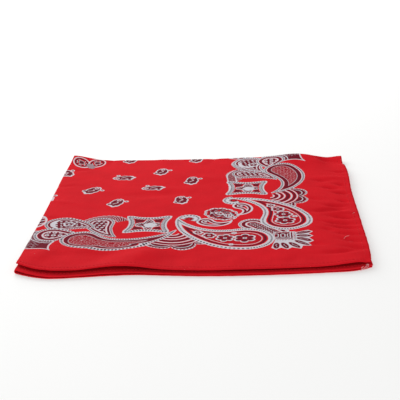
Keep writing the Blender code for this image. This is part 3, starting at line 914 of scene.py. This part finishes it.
def boteh(x, y, centre, radius, head, tail, wide, neck, throat, taper):
    """A drop bent along an arc: distance to its outline, way along the outline, and
    share of the way to the tail.

    The spine is an arc from angle head to angle tail. The distance from the spine is
    compared with half a width, which is a bell at the head plus a neck that thins to
    the tail as a power. The bell has fallen to a quarter at a share of throat, and taper
    is the power. Before the head the outline is a circle.
    """
    along, aside = turned(x, y, centre, (head + tail) / 2)
    share = angle(aside, along) * (180 / math.pi / (tail - head)) + 0.5
    onward = most(share, 0.0)
    swell = raised(raised(onward * (1 / throat), 2.0) + 1.0, -2.0)
    half = (1.0 - raised(least(onward, 1.0), taper)) * neck + swell * (wide - neck)
    side = size(length(along, aside) - radius) - half + most(share - 1.0, 0.0) * PAST_TAIL
    head_x, head_y = polar(centre, radius, head)
    to_x, to_y = x - head_x, y - head_y
    ahead = over(share, 0.0)
    distance = blend(length(to_x, to_y) - wide, side, ahead)
    way = blend(angle(to_y, to_x) * wide, share * (math.radians(abs(tail - head)) * radius), ahead)
    return distance, way, share


def blossom(x, y, centre, radius, petals, twist):
    """Distance to a flower's rim, whose round petals go as a root of the size of a
    cosine, and to its middle."""
    dx, dy = x - centre[0], y - centre[1]
    out = length(dx, dy)
    petal = raised(size(cosine(angle(dy, dx) * (petals / 2) + twist)), 0.6)
    return out - petal * (0.30 * radius) - 0.70 * radius, out


def spotted(rim, way, x, y, middle, radius, border):
    """A drop with a flower among round spots."""
    bud, out = blossom(x, y, middle, radius, 5.0, 0.6)
    spots = within(lattice(x - y * 0.2, y + x * 0.2, 4.4, 4.4) - 1.1) * over(out, radius + 1.0)
    cover, white, dark, black = layered(rim, way, border, (-1.9 - border, -0.2 - border),
                                        (-3.2 - border, -2.0 - border), border + 3.2, spots)
    return cover, most(white, band(bud, -1.6, 0.3), within(out - 1.2)), dark, black


def lacework(rim, way, x, y, thick):
    """A drop filled with lace: beads, a dark band, a white hairline, and fine curls,
    which are where a sum of bent sines passes two values."""
    cover, white, black = beads(rim, way, 2.9)
    depth = rim + 3.6 + thick
    inner = within(depth)
    curls = sine(x * 0.9 + sine(y * 0.8) * 1.5) + sine(y * 1.0 - x * 0.25 + sine(x * 0.5))
    vein = within(size(size(curls - 0.1) - 0.7) - 0.16) * inner
    hairline = within(size(depth) - 0.3)
    dark = most(within(rim + 3.3) * (1.0 - inner), inner * 0.62)
    return cover, most(white, vein * 0.7, hairline * 0.7), dark * (1.0 - vein), black


def flowered(x, y, centre, radius, head, tail, wide, flowers, buds):
    """A drop with a row of flowers: beads, a dark band, a white hairline, and blossoms
    whose dark petals have a white outline. The flowers are given by their angles and
    sizes along the spine, and the loose buds by their places and sizes."""
    rim, way, share = boteh(x, y, centre, radius, head, tail, wide, 9.0, 0.62, 2.2)
    cover, white, black = beads(rim, way, 4.8, 2.6)
    white = most(white, band(rim, -10.2, -9.5) * within(share - 0.8))
    dark = most(band(rim, -8.4, -6.0), within(rim + 10.2) * 0.30)
    for middle, reach in [(polar(centre, radius - 1.0, turn), reach) for turn, reach in flowers] + buds:
        petal, out = blossom(x, y, middle, reach, 6.0, middle[0])
        grain = stripes(angle(y - middle[1], x - middle[0]) * 6.0, 6.28, 1.2)
        outline = most(band(petal, -1.5, 0.5), band(out, reach * 0.1, reach * 0.2))
        white = blend(white, outline, within(petal))
        dark = blend(dark, 1.0 - grain * 0.4, within(petal + 1.3))
    return cover, white, dark, black

# %% [markdown]
# ## Motifs of the middle
# The field carries small sprigs, and the centre of the square one round medallion, of
# which a folded quarter shows a quarter. Each point looks up the nearest sprig, so all
# of them cost one drawing.

# %% Medallion and sprigs
SPRIGS = (
    # across  along  degrees
    (94.0, 40.5, 4.0), (125.5, 70.0, 2.0), (55.5, 61.5, -98.0), (87.0, 93.0, -96.0),
    (34.5, 96.5, 32.0), (61.0, 130.0, 14.0), (118.5, 124.0, -8.0), (58.5, -1.0, 5.0),
    (126.0, 0.0, 0.0), (-1.0, 47.0, -28.0), (-6.0, 118.0, -14.0),
)
SPRIG_REACH = 20.0           # no sprig is larger than this round its middle


def medallion(u, v):
    for centre, degrees, reach in (((9.0, 16.5), -24.0, 8.2), ((25.5, 12.5), 14.0, 8.0)):
        x, y = turned(u, v, centre, degrees)
        rim = length(x, y * 0.62) - reach - y * 0.12
        eye = length(x, (y - 1.5) * 0.6)
        curls = band(rim, -4.4, -3.4) * stripes(x + sine(y * 0.6) * 1.5, 4.4, 0.7)
        yield (within(rim), most(band(rim, -1.2, 1.0), band(eye, 2.4, 2.9), curls),
               within(rim + 1.9) * (1.0 - band(eye, 3.2, 4.4)), 0.0)
    out = length(u, v)
    yield within(out - 5.0), band(out, 3.2, 5.2), within(out - 3.0) * 0.8, 0.0
    x, y = turned(u, v, (20.0, 25.5), -20.0)
    yield within(length(x, y * 0.5) - 4.0), stripes(y, 2.6, 0.6) * 0.8, 1.0, 0.0


def scattered(u, v):
    nearest, x, y = SPRIG_REACH, 2 * SPRIG_REACH, 0.0
    for across, along, degrees in SPRIGS:
        to_x, to_y = turned(u, v, (across, along), degrees)
        far = length(to_x, to_y)
        closer = over(nearest, far)
        nearest = least(far, nearest)
        x, y = blend(x, to_x, closer), blend(y, to_y, closer)
    lobes = size(sine(angle(y * 0.58, x) * 5.0)) * 0.6
    drop = length(x, y * 0.58) - 5.9 - y * 0.15 - lobes
    bud = length(x - 7.6, y + 2.5) - 2.3
    ear = length(x + 5.2, y - 8.0) - 2.9
    rim = least(drop, bud, ear) + 0.3
    eye = size(length(x * 1.1, y + 3.6) - 1.6) - 0.7
    vine = most(size(x - sine(y * 0.7) * 1.5 + 0.5) - 0.7, size(y - 3.4) - 3.4)
    mark = within(least(eye, vine))
    yield within(rim), most(band(rim, -1.1, 1.0), mark * 0.8), within(rim + 1.0) * (1.0 - mark), 0.0

# %% [markdown]
# ## Motifs of the border
# The border repeats in all four sides of the square, and its two halves mirror each
# other about the corner's diagonal. So half of the motifs are drawn once, on the front
# side, in places p and q: those of the right side are swapped before they reach them.
# The motifs that sit on the diagonal, or that differ between the halves, are drawn where
# they lie, in places u and v.

# %% Fan, leaves and arcs
def shell_fan(p, q):
    x, y = p - 118.0, q - 209.5
    out, turn = length(x, y), angle(y, x) * (180 / math.pi)
    lobe = raised(size(cosine((turn + 10.0) * (math.pi / 40))), 0.55)
    rim = out - lobe * 8.0 - 30.0
    white = most(bands(out, (3.8, 5.2), (9.0, 10.6), (14.0, 15.4), (20.4, 22.0), (26.0, 27.2)),
                 band(rim, -1.9, 1.0), band(rim, -5.8, -4.8) * over(out, 28.0))
    dark = most(bands(out, (5.8, 8.4), (11.4, 13.2), (16.2, 19.6), (22.8, 25.4)),
                within(rim + 2.2) * over(out, 27.8))
    ticks = stripes(turn, 4.5, 0.9) * band(rim, -1.7, -0.5)
    yield within(most(rim, size(turn - 76.0) * 0.5 - 32.0)), white, dark, ticks


def side_leaf(p, q):
    x, y = p + 2.0, q - 181.0
    rim = length(x, y * 0.55) - 8.0
    zigzag = stripes(y + x * 0.6, 7.0, 0.9)
    yield within(rim), most(band(rim, -1.6, 1.0), zigzag), within(rim + 2.2), 0.0


def fishtail(p, q):
    flare = raised(p * 0.05, 3.0) * 4.0
    rim = most(q - flare - 243.6, 203.0 - q, 24.0 - length(p - 43.0, q - 237.5), p - 21.2)
    curls = sine(p * 1.3 + sine(q * 1.1)) + sine(q * 1.2 - p * 0.4)
    vein = within(size(curls - 0.4) - 0.20) * within(p + (q - 236.0) * 0.4 - 9.0)
    arc = band(length(p - 17.0, q - 211.0), 18.6, 19.6)
    yield within(rim), most(band(rim, -1.4, 1.0), arc, vein * 0.9), within(rim + 1.6), 0.0


def hatched_arc(p, q):
    x, y = p - 57.5, q - 189.0
    out = length(x, y)
    slant = angle(y, x) * 16.0 + out * 1.3
    away = size(out - 17.0)
    lines = stripes(slant, 3.1, 0.5)
    rim = away - 5.2 - sine(slant * 2.0) * 0.4
    yield (within(most(rim, y + most(x, 0.0) * 0.55)), most(band(away, 4.2, 6.6) * 0.7, lines * 0.6),
           (1.0 - lines) * 0.95, 0.0)


def side_arc(u, v):
    bend = most((62.0 - v) * 0.05, 0.0)
    middle = bend * bend * 7.0 + least(most((v - 62.0) * 0.1, 0.0), 3.0) + 162.6
    away = size(u - middle)
    lines = stripes(v * 1.1 - u, 3.3, 0.4)
    rim = away - 4.6 - sine(v * 1.3) * 0.3
    yield (within(most(rim, size(v - 77.0) - 35.0)), most(band(away, 3.4, 5.4), lines * 0.6),
           (1.0 - lines) * 0.95, 0.0)

# %% Drops of the border
def light_drop(p, q):
    rim, way = boteh(p, q, (24.0, 243.0), 32.0, -104.0, -58.0, 15.0, 10.0, 0.5, 2.0)[:2]
    rings = within(size(lattice(p - 1.0, q - 3.0, 5.6, 6.0) - 1.4) - 0.6)
    yield layered(rim, way, 2.8, (-6.2, -3.2), (-8.0, -6.4), 8.4, rings)


def hooked_drop(p, q):
    rim, way = boteh(p, q, (93.0, 184.0), 40.0, 178.0, 124.0, 12.5, 9.0, 0.5, 2.4)[:2]
    dots = within(lattice(p + q * 0.3, q - p * 0.3, 4.6, 4.6) - 1.3)
    yield layered(rim, way, 2.4, (-4.4, -2.6), (-6.0, -4.6), 6.2, dots)


def leaf_drop(p, q):
    rim, way = boteh(p, q, (24.0, 226.0), 39.0, -94.0, -48.0, 15.5, 10.0, 0.5, 2.2)[:2]
    cover, white, dark, black = spotted(rim, way, p, q, (26.5, 187.0), 5.4, 2.4)
    crescent = most(length((p - 17.5) * 0.9, (q - 190.0) * 0.5) - 6.2,
                    6.0 - length((p - 21.5) * 0.9, (q - 187.0) * 0.55), rim + 4.6)
    yield cover, most(white, within(crescent)), dark, black


def side_leaf_drop(u, v):
    rim, way = boteh(u, v, (212.0, 21.0), 31.5, 180.0, 118.0, 17.6, 8.0, 0.5, 2.0)[:2]
    cover, white, dark, black = spotted(rim, way, u, v, (184.0, 26.5), 5.6, 3.4)
    crescent = most(length(u - 178.5, v - 25.0) - 9.6, 9.6 - length(u - 181.5, v - 22.0))
    yield cover, most(white, within(crescent)), dark, black


def long_drop(u, v):
    rim, way = boteh(u, v, (72.0, 177.5), 53.6, 124.0, 27.0, 17.0, 9.8, 0.24, 2.6)[:2]
    rim = least(rim, length((u - 72.0) * 0.36, v - 234.5) - 10.0)
    low = least(most((v - 222.0) * 0.1, 0.0), 1.0)
    yield lacework(rim, way, u, v, 3.8 - low * 2.0)


def wide_drop(u, v):
    rim, way = boteh(u, v, (173.8, 72.5), 46.5, -36.0, 54.0, 17.2, 9.0, 0.62, 2.0)[:2]
    yield lacework(rim, way, v, u, 3.6)


def corner_drop(u, v):
    flowers = ((87.0, 9.6), (104.0, 8.2), (119.0, 6.4), (131.0, 4.4))
    buds = [((166.5, 234.5), 2.2), ((168.5, 209.5), 2.6)]
    yield flowered(u, v, (174.5, 166.5), 56.0, 86.0, 171.0, 23.0, flowers, buds)


def side_drop(u, v):
    flowers = ((4.0, 9.2), (-12.0, 8.4), (-27.0, 6.4), (-39.0, 4.4))
    buds = [((220.0, 172.0), 2.6)]
    yield flowered(u, v, (158.0, 178.0), 54.5, 4.0, -81.0, 22.0, flowers, buds)


def small_drop(p, q):
    rim = boteh(p, q, (154.0, 176.5), 12.5, 150.0, 14.0, 7.4, 4.6, 0.5, 2.2)[0]
    eye = length(p - 143.6, q - 183.4)
    white = most(band(rim, -1.5, 1.0), band(rim, -5.0, -3.9), within(eye - 1.4))
    yield within(rim - 0.3), white, most(band(rim, -3.7, -1.8), band(eye, 1.7, 3.6)), 0.0

# %% Bracket, rose and arch
def bracket(p, q):
    x, y = p - 94.2, q - 188.0
    wide, deep = size(x), size(y) * 0.98
    far, near = most(wide, deep), least(wide, deep)
    rim = most(35.5 - length(51.5 - far, near), far - 19.2)
    cover, white, black = beads(rim, near, 4.6)
    ticks = stripes(near + rim * 0.8, 2.6, 0.55) * band(rim, -4.4, -2.8)
    bud, out = blossom(x, y, (2.5, 2.0), 6.0, 5.0, 0.9)
    core = within(rim + 5.4)
    petals = cosine(angle(y - 1.0, (x - 1.0) * 1.1) * 4.0) * 2.6
    sprout = length(x - 1.0, y - 1.0) - petals - 9.5
    veins = stripes(x - y * 0.8, 2.6, 0.4) * band(sprout, -4.5, -0.8)
    white = most(white, most(within(bud), veins, band(sprout, -0.8, 0.6)) * core)
    dark = most(core * (1.0 - band(sprout, 0.6, 2.0)), band(out, 0.9, 1.9))
    yield cover, white, dark * (1.0 - within(bud + 2.0)), most(black, ticks)


def rose(u, v):
    x, y = u - 156.5, v - 164.5
    out, turn = length(x, y), angle(y, x)
    wave = size(sine(turn * 5.5 + 0.4))
    shape = cosine((turn - 0.8) * 2.0) * 1.6
    rim = out - wave * 1.3 - shape - 14.2
    swirl = sine(out * 0.9 - turn * 2.0) + sine(x * 0.7 + sine(y * 0.6) * 1.4) * 0.7
    vein = within(size(swirl - 0.3) - 0.20) * within(rim + 4.4)
    oval = length((x + 2.0) * 0.8 - (y + 1.5) * 0.35, (y + 1.5) * 0.75) - 2.6
    leaf = most(size(x * 0.8 - y * 0.4 - 3.5) - 3.0, size(y - 5.0) - 4.2)
    white = most(band(rim, -2.2, 1.0), vein, band(oval, -0.6, 0.4), band(leaf, -0.6, 0.3),
                 stripes(x, 2.2, 0.45) * within(leaf))
    dots = stripes(turn * 13.0, 2.9, 0.5) * band(rim, -1.9, -0.7)
    yield within(rim), white, within(rim + 2.8) * (1.0 - band(swirl, -1.3, -0.7) * 0.8), dots


def arch(u, v):
    """A rounded bar with round spots: the distance to a line between two places."""
    x, y = u - 184.0, v - 190.0
    reach = least(most((x * 18.0 + y * 20.0) * (1 / 724.0), 0.0), 1.0)
    out = length(x - reach * 18.0, y - reach * 20.0)
    bead = length(centred(angle(y, x) * 10.8, 2.4), out - 11.2) - 0.65
    spots = within(lattice(x - y, x + y, 3.4, 3.8) - 0.95) * within(out - 3.4)
    yield (within(out - 12.6), most(band(out, 9.8, 12.6), band(out, 5.0, 6.6), spots),
           most(band(out, 6.8, 9.4), within(out - 4.4)) * (1.0 - spots), within(bead))


def curl(p, q):
    x, y = p - 128.8, q - 176.0
    out = length(x, y)
    cover, white, black = beads(size(out - 6.0) - 4.0, angle(y, x) * 7.0, 4.2, 2.5)
    rind = over(out, 3.4)
    yield cover * within(y - 3.0 - x * 0.5), white * rind, within(out - 3.0), black * rind

# %% Palmette
def palmette(u, v):
    """Seven petals round a small square. The distance outwards is a root of fourth
    powers, whose outline is a square with round corners."""
    x, y = u - 204.0, v - 217.0
    turn = angle(y, x) * (180 / math.pi) - 39.0
    aside = centred(turn, 18.0) * length(x, y) * (math.pi / 180)
    far = raised(raised(x, 4.0) + raised(y, 4.0), 0.25)
    fan = most((size(turn) - 62.5) * 0.4, 9.0 - far)
    teeth = most(far + size(aside) * 0.9 - 29.4, fan)
    petal = most(length((far - 21.5) * 0.4, aside) - 2.5, fan + 0.8)
    fold = within(size(aside - sine(far) * 0.5) - 0.35) * band(far, 18.0, 25.0)
    yield within(teeth), 1.0 - within(petal) * (1.0 - fold * 0.6), within(petal), 0.0
    x, y = u - 210.0, v - 217.8
    box = most(size(x), size(y)) + least(size(x), size(y)) * 0.1 - 10.0
    loops = size(length(centred(x + 1.4, 5.4), most(size(y + 1.0) - 2.0, 0.0)) - 1.7) - 0.45
    corner = most(x, y)
    stems = stripes(corner, 2.3, 0.5) * over(corner, 3.4)
    white = most(band(box, -1.8, 1.0), stems, within(loops) * over(3.4, corner))
    yield within(box), white, within(box + 2.2), stripes(x + y, 2.4, 0.5) * band(box, -1.5, -0.5)

# %% [markdown]
# ## The print as one group
# The cloth's own coordinates give the place on the open square in millimetres. The
# square's four quarters mirror each other, so a quarter is enough. The motifs are laid
# one over the next, as screens are in printing, and end as the share of white, dark red
# and black ink.

# %% Lay the motifs over each other
# from the lowest up
LAYERS = (medallion, scattered, shell_fan, side_leaf, fishtail, hatched_arc, side_arc,
          hooked_drop, leaf_drop, side_leaf_drop, light_drop, long_drop, wide_drop, bracket,
          rose, small_drop, arch, palmette, side_drop, corner_drop, curl)
# these are drawn where they lie, and the others once for both sides of the diagonal
IN_PLACE = (medallion, scattered, side_leaf_drop, side_arc, long_drop, wide_drop, rose, arch,
            palmette, side_drop, corner_drop)
INKS = ("White", "Dark", "Black")
GROUND = (0.560, 0.0080, 0.0150, 1.0)
WHITE_INK = (0.540, 0.520, 0.560, 1.0)
DARK_INK = (0.130, 0.0030, 0.0130, 1.0)
BLACK_INK = (0.032, 0.0120, 0.0180, 1.0)
DIAGONAL = (1.04, 3.0)       # slope and start of the line between the front and right sides
SHIFT = 1.0                  # mm by which the right side's motifs lie nearer the front
HAND_SWAY = 0.35             # mm by which the screens' outlines wander
SWAY_SCALE = 190.0           # of the noise that they follow


def mixed(first, second, share):
    """The colour at some share of the way between two, which are inputs 6 and 7."""
    node = new_node("Mix")
    node.data_type = "RGBA"
    for label, value in (("Factor", share), (6, first), (7, second)):
        plug(node.inputs[label], value)
    return node.outputs[2]


def motif_group(draw):
    """A node group that lays one motif over the inks that are already there."""
    inks = dict.fromkeys(INKS, "Float")
    tree, entry, leave = new_group(draw.__name__, {"Across": "Float", "Along": "Float", **inks}, inks)
    across, along, *under = (Value(entry[number]) for number in range(2 + len(INKS)))
    for cover, *laid in draw(across, along):
        under = [blend(ink, new, cover) for ink, new in zip(under, laid)]
    for socket, ink in zip(leave, under):
        plug(socket, ink)
    return tree


def print_group():
    """Group that turns the print's coordinates into the colour of the inked cloth."""
    motifs = {draw: motif_group(draw) for draw in LAYERS}
    tree, entry, leave = new_group("bandana_print", {"Print": "Vector"},
                                   {"Color": "Color", "Ink": "Float"})
    wander = new_node("TexNoise", Vector=entry["Print"], Scale=SWAY_SCALE, Detail=1.0)
    sway = new_node("SeparateXYZ", Vector=wander.outputs["Color"]).outputs
    place = new_node("SeparateXYZ", Vector=entry["Print"]).outputs
    quarter = [size((Value(place[axis]) - 0.5) * (1000 * OPEN_SQUARE)
                    + (Value(sway[axis]) - 0.5) * (2 * HAND_SWAY)) for axis in (0, 1)]
    across, along = quarter
    level = step("MULTIPLY_ADD", across, *DIAGONAL)
    right_side = over(level, along)
    swapped = (blend(across, along - SHIFT, right_side), blend(along, level, right_side))
    inks = dict.fromkeys(INKS, 0.0)
    for draw in LAYERS:
        seen_across, seen_along = quarter if draw in IN_PLACE else swapped
        laid = new_node("Group", motifs[draw], Across=seen_across, Along=seen_along, **inks)
        inks = {label: Value(laid.outputs[label]) for label in INKS}
    colour = mixed(GROUND, DARK_INK, inks["Dark"])
    colour = mixed(colour, WHITE_INK, inks["White"])
    plug(leave["Color"], mixed(colour, BLACK_INK, inks["Black"] * inks["White"]))
    plug(leave["Ink"], most(inks["White"], inks["Dark"]))
    return tree


PRINT = print_group()
print("nodes of the print:", sum(len(group.nodes) for group in bpy.data.node_groups))

# %% [markdown]
# ## Cotton
# Bandana cloth is a light plain weave, one thread over and one under, about seventy
# threads to the inch. The weave follows the cloth's own coordinates, so it turns with
# every fold. It only feeds a bump, the roughness and a painted shade in the colour,
# darker where the threads lie low. The ink lies on the threads and makes them a little
# smoother.

# %% Weave and unevenness as groups
THREAD_PITCH = 0.36          # mm
BEND_SCALE = 240.0           # of the noise that bends the threads
THREAD_BEND = 2.4            # and by how much it does, in radians of the sine
UNDER = 0.35                 # height of a thread where it passes under another
SLUB_SCALES = (700.0, 30.0)  # of the noise across a thicker thread and along it
SLUB_HEIGHT = 0.3
# the weave's colour is painted shade: darker where the threads lie low, lighter where they and the
# slubs stand high
DARKEST = 0.91               # shade between the threads, to which these two are added:
HEIGHT_SHADE = 0.16
SLUB_SHADE = 0.10
WEAR_SCALES = (34.0, 120.0)  # of the noise that lifts the surface, slow and fine
FINE_WEAR = 0.25
DYE_SCALE = 55.0
DYE_SPREAD = 0.22


def noise(place, scale, detail=2.0):
    return Value(new_node("TexNoise", Vector=place, Scale=scale, Detail=detail).outputs["Fac"])


def weave_group():
    """Plain weave. Each set of threads is the size of a sine across it, higher where it
    passes over: the product of both sines says which set that is."""
    tree, entry, leave = new_group("plain_weave", {"Print": "Vector", "Pitch": "Float"},
                                   {"Height": "Float", "Shade": "Float"})
    place = new_node("SeparateXYZ", Vector=entry["Print"]).outputs
    turns = step("DIVIDE", 1000 * OPEN_SQUARE * math.pi, entry["Pitch"])
    bend = (noise(entry["Print"], BEND_SCALE) - 0.5) * THREAD_BEND
    warp, weft = (sine(step("MULTIPLY_ADD", place[axis], turns, bend)) for axis in (0, 1))
    upper = warp * weft * 0.5 + 0.5
    height = most(size(warp) * (upper * (1 - UNDER) + UNDER),
                  size(weft) * (1.0 - upper * (1 - UNDER)))
    across, along = SLUB_SCALES
    streaks = [new_node("Mapping", Vector=entry["Print"], Scale=(*scales, 1.0)).outputs["Vector"]
               for scales in ((across, along), (along, across))]
    slubs = noise(streaks[0], 1.0, 1.0) + noise(streaks[1], 1.0, 1.0) - 1.0
    plug(leave["Height"], height + slubs * SLUB_HEIGHT)
    # painted shade: the colour follows the threads' height
    plug(leave["Shade"], height * HEIGHT_SHADE + slubs * SLUB_SHADE + DARKEST)
    return tree


def wear_group():
    """Slow unevenness of dye and of the cloth's surface, read from the object's place:
    noise of two sizes for the height, and one of another size for the dye."""
    tree, entry, leave = new_group("cloth_unevenness", {"Place": "Vector"},
                                   {"Height": "Float", "Dye": "Float"})
    slow, fine = (noise(entry["Place"], scale) for scale in WEAR_SCALES)
    plug(leave["Height"], slow + fine * FINE_WEAR)
    plug(leave["Dye"], (noise(entry["Place"], DYE_SCALE, 3.0) - 0.5) * DYE_SPREAD + 1.0)
    return tree


WEAVE, WEAR = weave_group(), wear_group()
print("weave pitch in mm:", THREAD_PITCH)

# %% Cotton materials
REVERSE_GROUND = (0.540, 0.0220, 0.0320, 1.0)
SHOW_THROUGH = 0.30          # share of the print that comes through to the reverse
LINT = (1.0, 0.75, 0.78, 1.0)
ROUGHNESS = 0.90             # between the threads, where there is no ink
THREAD_SHINE = 0.08          # on top of a thread it is less by this much
INK_SHINE = 0.12             # and under ink by this much


def new_material(name):
    """A material, whose tree formulas are now written into, and its surface."""
    material = bpy.data.materials.new(name)
    material.use_nodes = True
    WRITING["tree"] = material.node_tree
    return material, material.node_tree.nodes["Principled BSDF"]


def scaled(colour, share):
    """A colour made lighter or darker by a share."""
    node = new_node("VectorMath")
    node.operation = "SCALE"
    plug(node.inputs[0], colour[:3] if isinstance(colour, tuple) else colour)
    plug(node.inputs["Scale"], share)
    return node.outputs[0]


def cotton(name, ground, printed_share):
    """Cotton with its weave, uneven dye and, where it has any, its print."""
    material, surface = new_material(name)
    placing = new_node("UVMap")
    placing.uv_map = "Print"
    place = placing.outputs["UV"]
    weave = new_node("Group", WEAVE, Print=place, Pitch=THREAD_PITCH).outputs
    wear = new_node("Group", WEAR, Place=new_node("TexCoord").outputs["Object"]).outputs
    colour, rough = ground, 0.0
    if printed_share:
        inked = new_node("Group", PRINT, Print=place).outputs
        colour = mixed(ground, inked["Color"], printed_share)
        rough = Value(inked["Ink"]) * (-INK_SHINE * printed_share)
    slow = new_node("Bump", Height=wear["Height"], Strength=0.6, Distance=0.0012)
    fine = new_node("Bump", Height=weave["Height"], Strength=0.35, Distance=0.00006,
                    Normal=slow.outputs["Normal"])
    # the base colour carries the weave's painted shade and the dye's random unevenness
    feed(surface, Base_Color=scaled(colour, Value(weave["Shade"]) * Value(wear["Dye"])),
         Roughness=Value(weave["Height"]) * -THREAD_SHINE + ROUGHNESS + rough,
         Specular_IOR_Level=0.015, Sheen_Weight=0.003, Sheen_Roughness=0.4, Sheen_Tint=LINT,
         Normal=fine.outputs["Normal"])
    return material


cloth.data.materials.append(cotton("printed_cotton", GROUND, 1.0))
cloth.data.materials.append(cotton("cotton_reverse", REVERSE_GROUND, SHOW_THROUGH))
hemmed_cotton = cotton("hemmed_cotton", GROUND, 0.0)
for hem in hems.values():
    hem.data.materials.append(hemmed_cotton)

# %% Thread materials
SEWING_THREAD = (0.560, 0.0120, 0.0200, 1.0)
PALE_THREAD = (0.72, 0.34, 0.36, 1.0)
TWIST_SCALE = 3800.0         # of the noise that stands for the twist


def thread_material(name, colour):
    """Twisted thread: a fine noise for the twist, in colour and in a bump."""
    material, surface = new_material(name)
    twist = noise(new_node("TexCoord").outputs["Object"], TWIST_SCALE)
    bump = new_node("Bump", Height=twist, Strength=0.5, Distance=0.00004)
    feed(surface, Base_Color=scaled(colour, twist * 0.4 + 0.8), Roughness=0.7,
         Specular_IOR_Level=0.05, Normal=bump.outputs["Normal"])
    return material


stitches.data.materials.append(thread_material("sewing_thread", SEWING_THREAD))
pale_thread = thread_material("pale_thread", PALE_THREAD)
for thread in threads:
    thread.data.materials.append(pale_thread)
print("materials:", [material.name for material in bpy.data.materials])

# %% [markdown]
# ## Table and light
# The cloth lies on white paper in a bright room. Even light from all round keeps the
# shadows faint, and the paper is given a glow: painted light that fills the cloth's
# shadow on it and lights the edges of the layers from below. One large lamp stands low
# behind and to the left, so the creases get a lit and a dark side.
# A weak one, low in front, opens up the edges of the layers.

# %% Floor and light
FLOOR_HEIGHT = -0.0001
PAPER = (0.42, 0.42, 0.417, 1.0)
# the paper's glow is painted light: it fills the cloth's shadow on the floor
GLOW = (1.0, 1.0, 0.99, 1.0)
GLOW_STRENGTH = 0.47
ROOM_LIGHT = 0.60
LAMP_SIDES = (1.6, 1.0)
LAMPS = {
    # name: (place, power)
    "softbox": (Vector((-0.80, 1.16, 0.68)), 29.0),
    "fill": (Vector((0.15, -1.65, 0.18)), 19.0),
}

floor_corners = [(x, y, FLOOR_HEIGHT) for x, y in ((-4, -3), (4, -3), (4, 6), (-4, 6))]
floor = new_object("floor", np.array(floor_corners), [(0, 1, 2, 3)])
paper, surface = new_material("white_table")
feed(surface, Base_Color=PAPER, Roughness=0.8, Emission_Color=GLOW, Emission_Strength=GLOW_STRENGTH)
floor.data.materials.append(paper)

world = bpy.data.worlds.new("studio")
world.use_nodes = True
background = world.node_tree.nodes["Background"]
background.inputs["Color"].default_value = (1.0, 1.0, 1.0, 1.0)
background.inputs["Strength"].default_value = ROOM_LIGHT
bpy.context.scene.world = world
for label, (place, power) in LAMPS.items():
    lamp = bpy.data.lights.new(label, "AREA")
    lamp.shape = "RECTANGLE"
    lamp.size, lamp.size_y = LAMP_SIDES
    lamp.energy = power
    panel = bpy.data.objects.new(label, lamp)
    facing = (-place).to_track_quat("-Z", "Y").to_matrix().to_4x4()
    panel.matrix_world = Matrix.Translation(place) @ facing
    bpy.context.scene.collection.objects.link(panel)
bpy.context.scene.view_settings.view_transform = "Standard"
print("lamps:", list(LAMPS))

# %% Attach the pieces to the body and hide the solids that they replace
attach(cloth, "root")
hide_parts("top_quarter", "folded_layers")
for name, (right_side, beyond_fold, node) in HEMS.items():
    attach(hems[name], "root")
    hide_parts(node)
for piece in [stitches] + threads:
    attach(piece, "root")
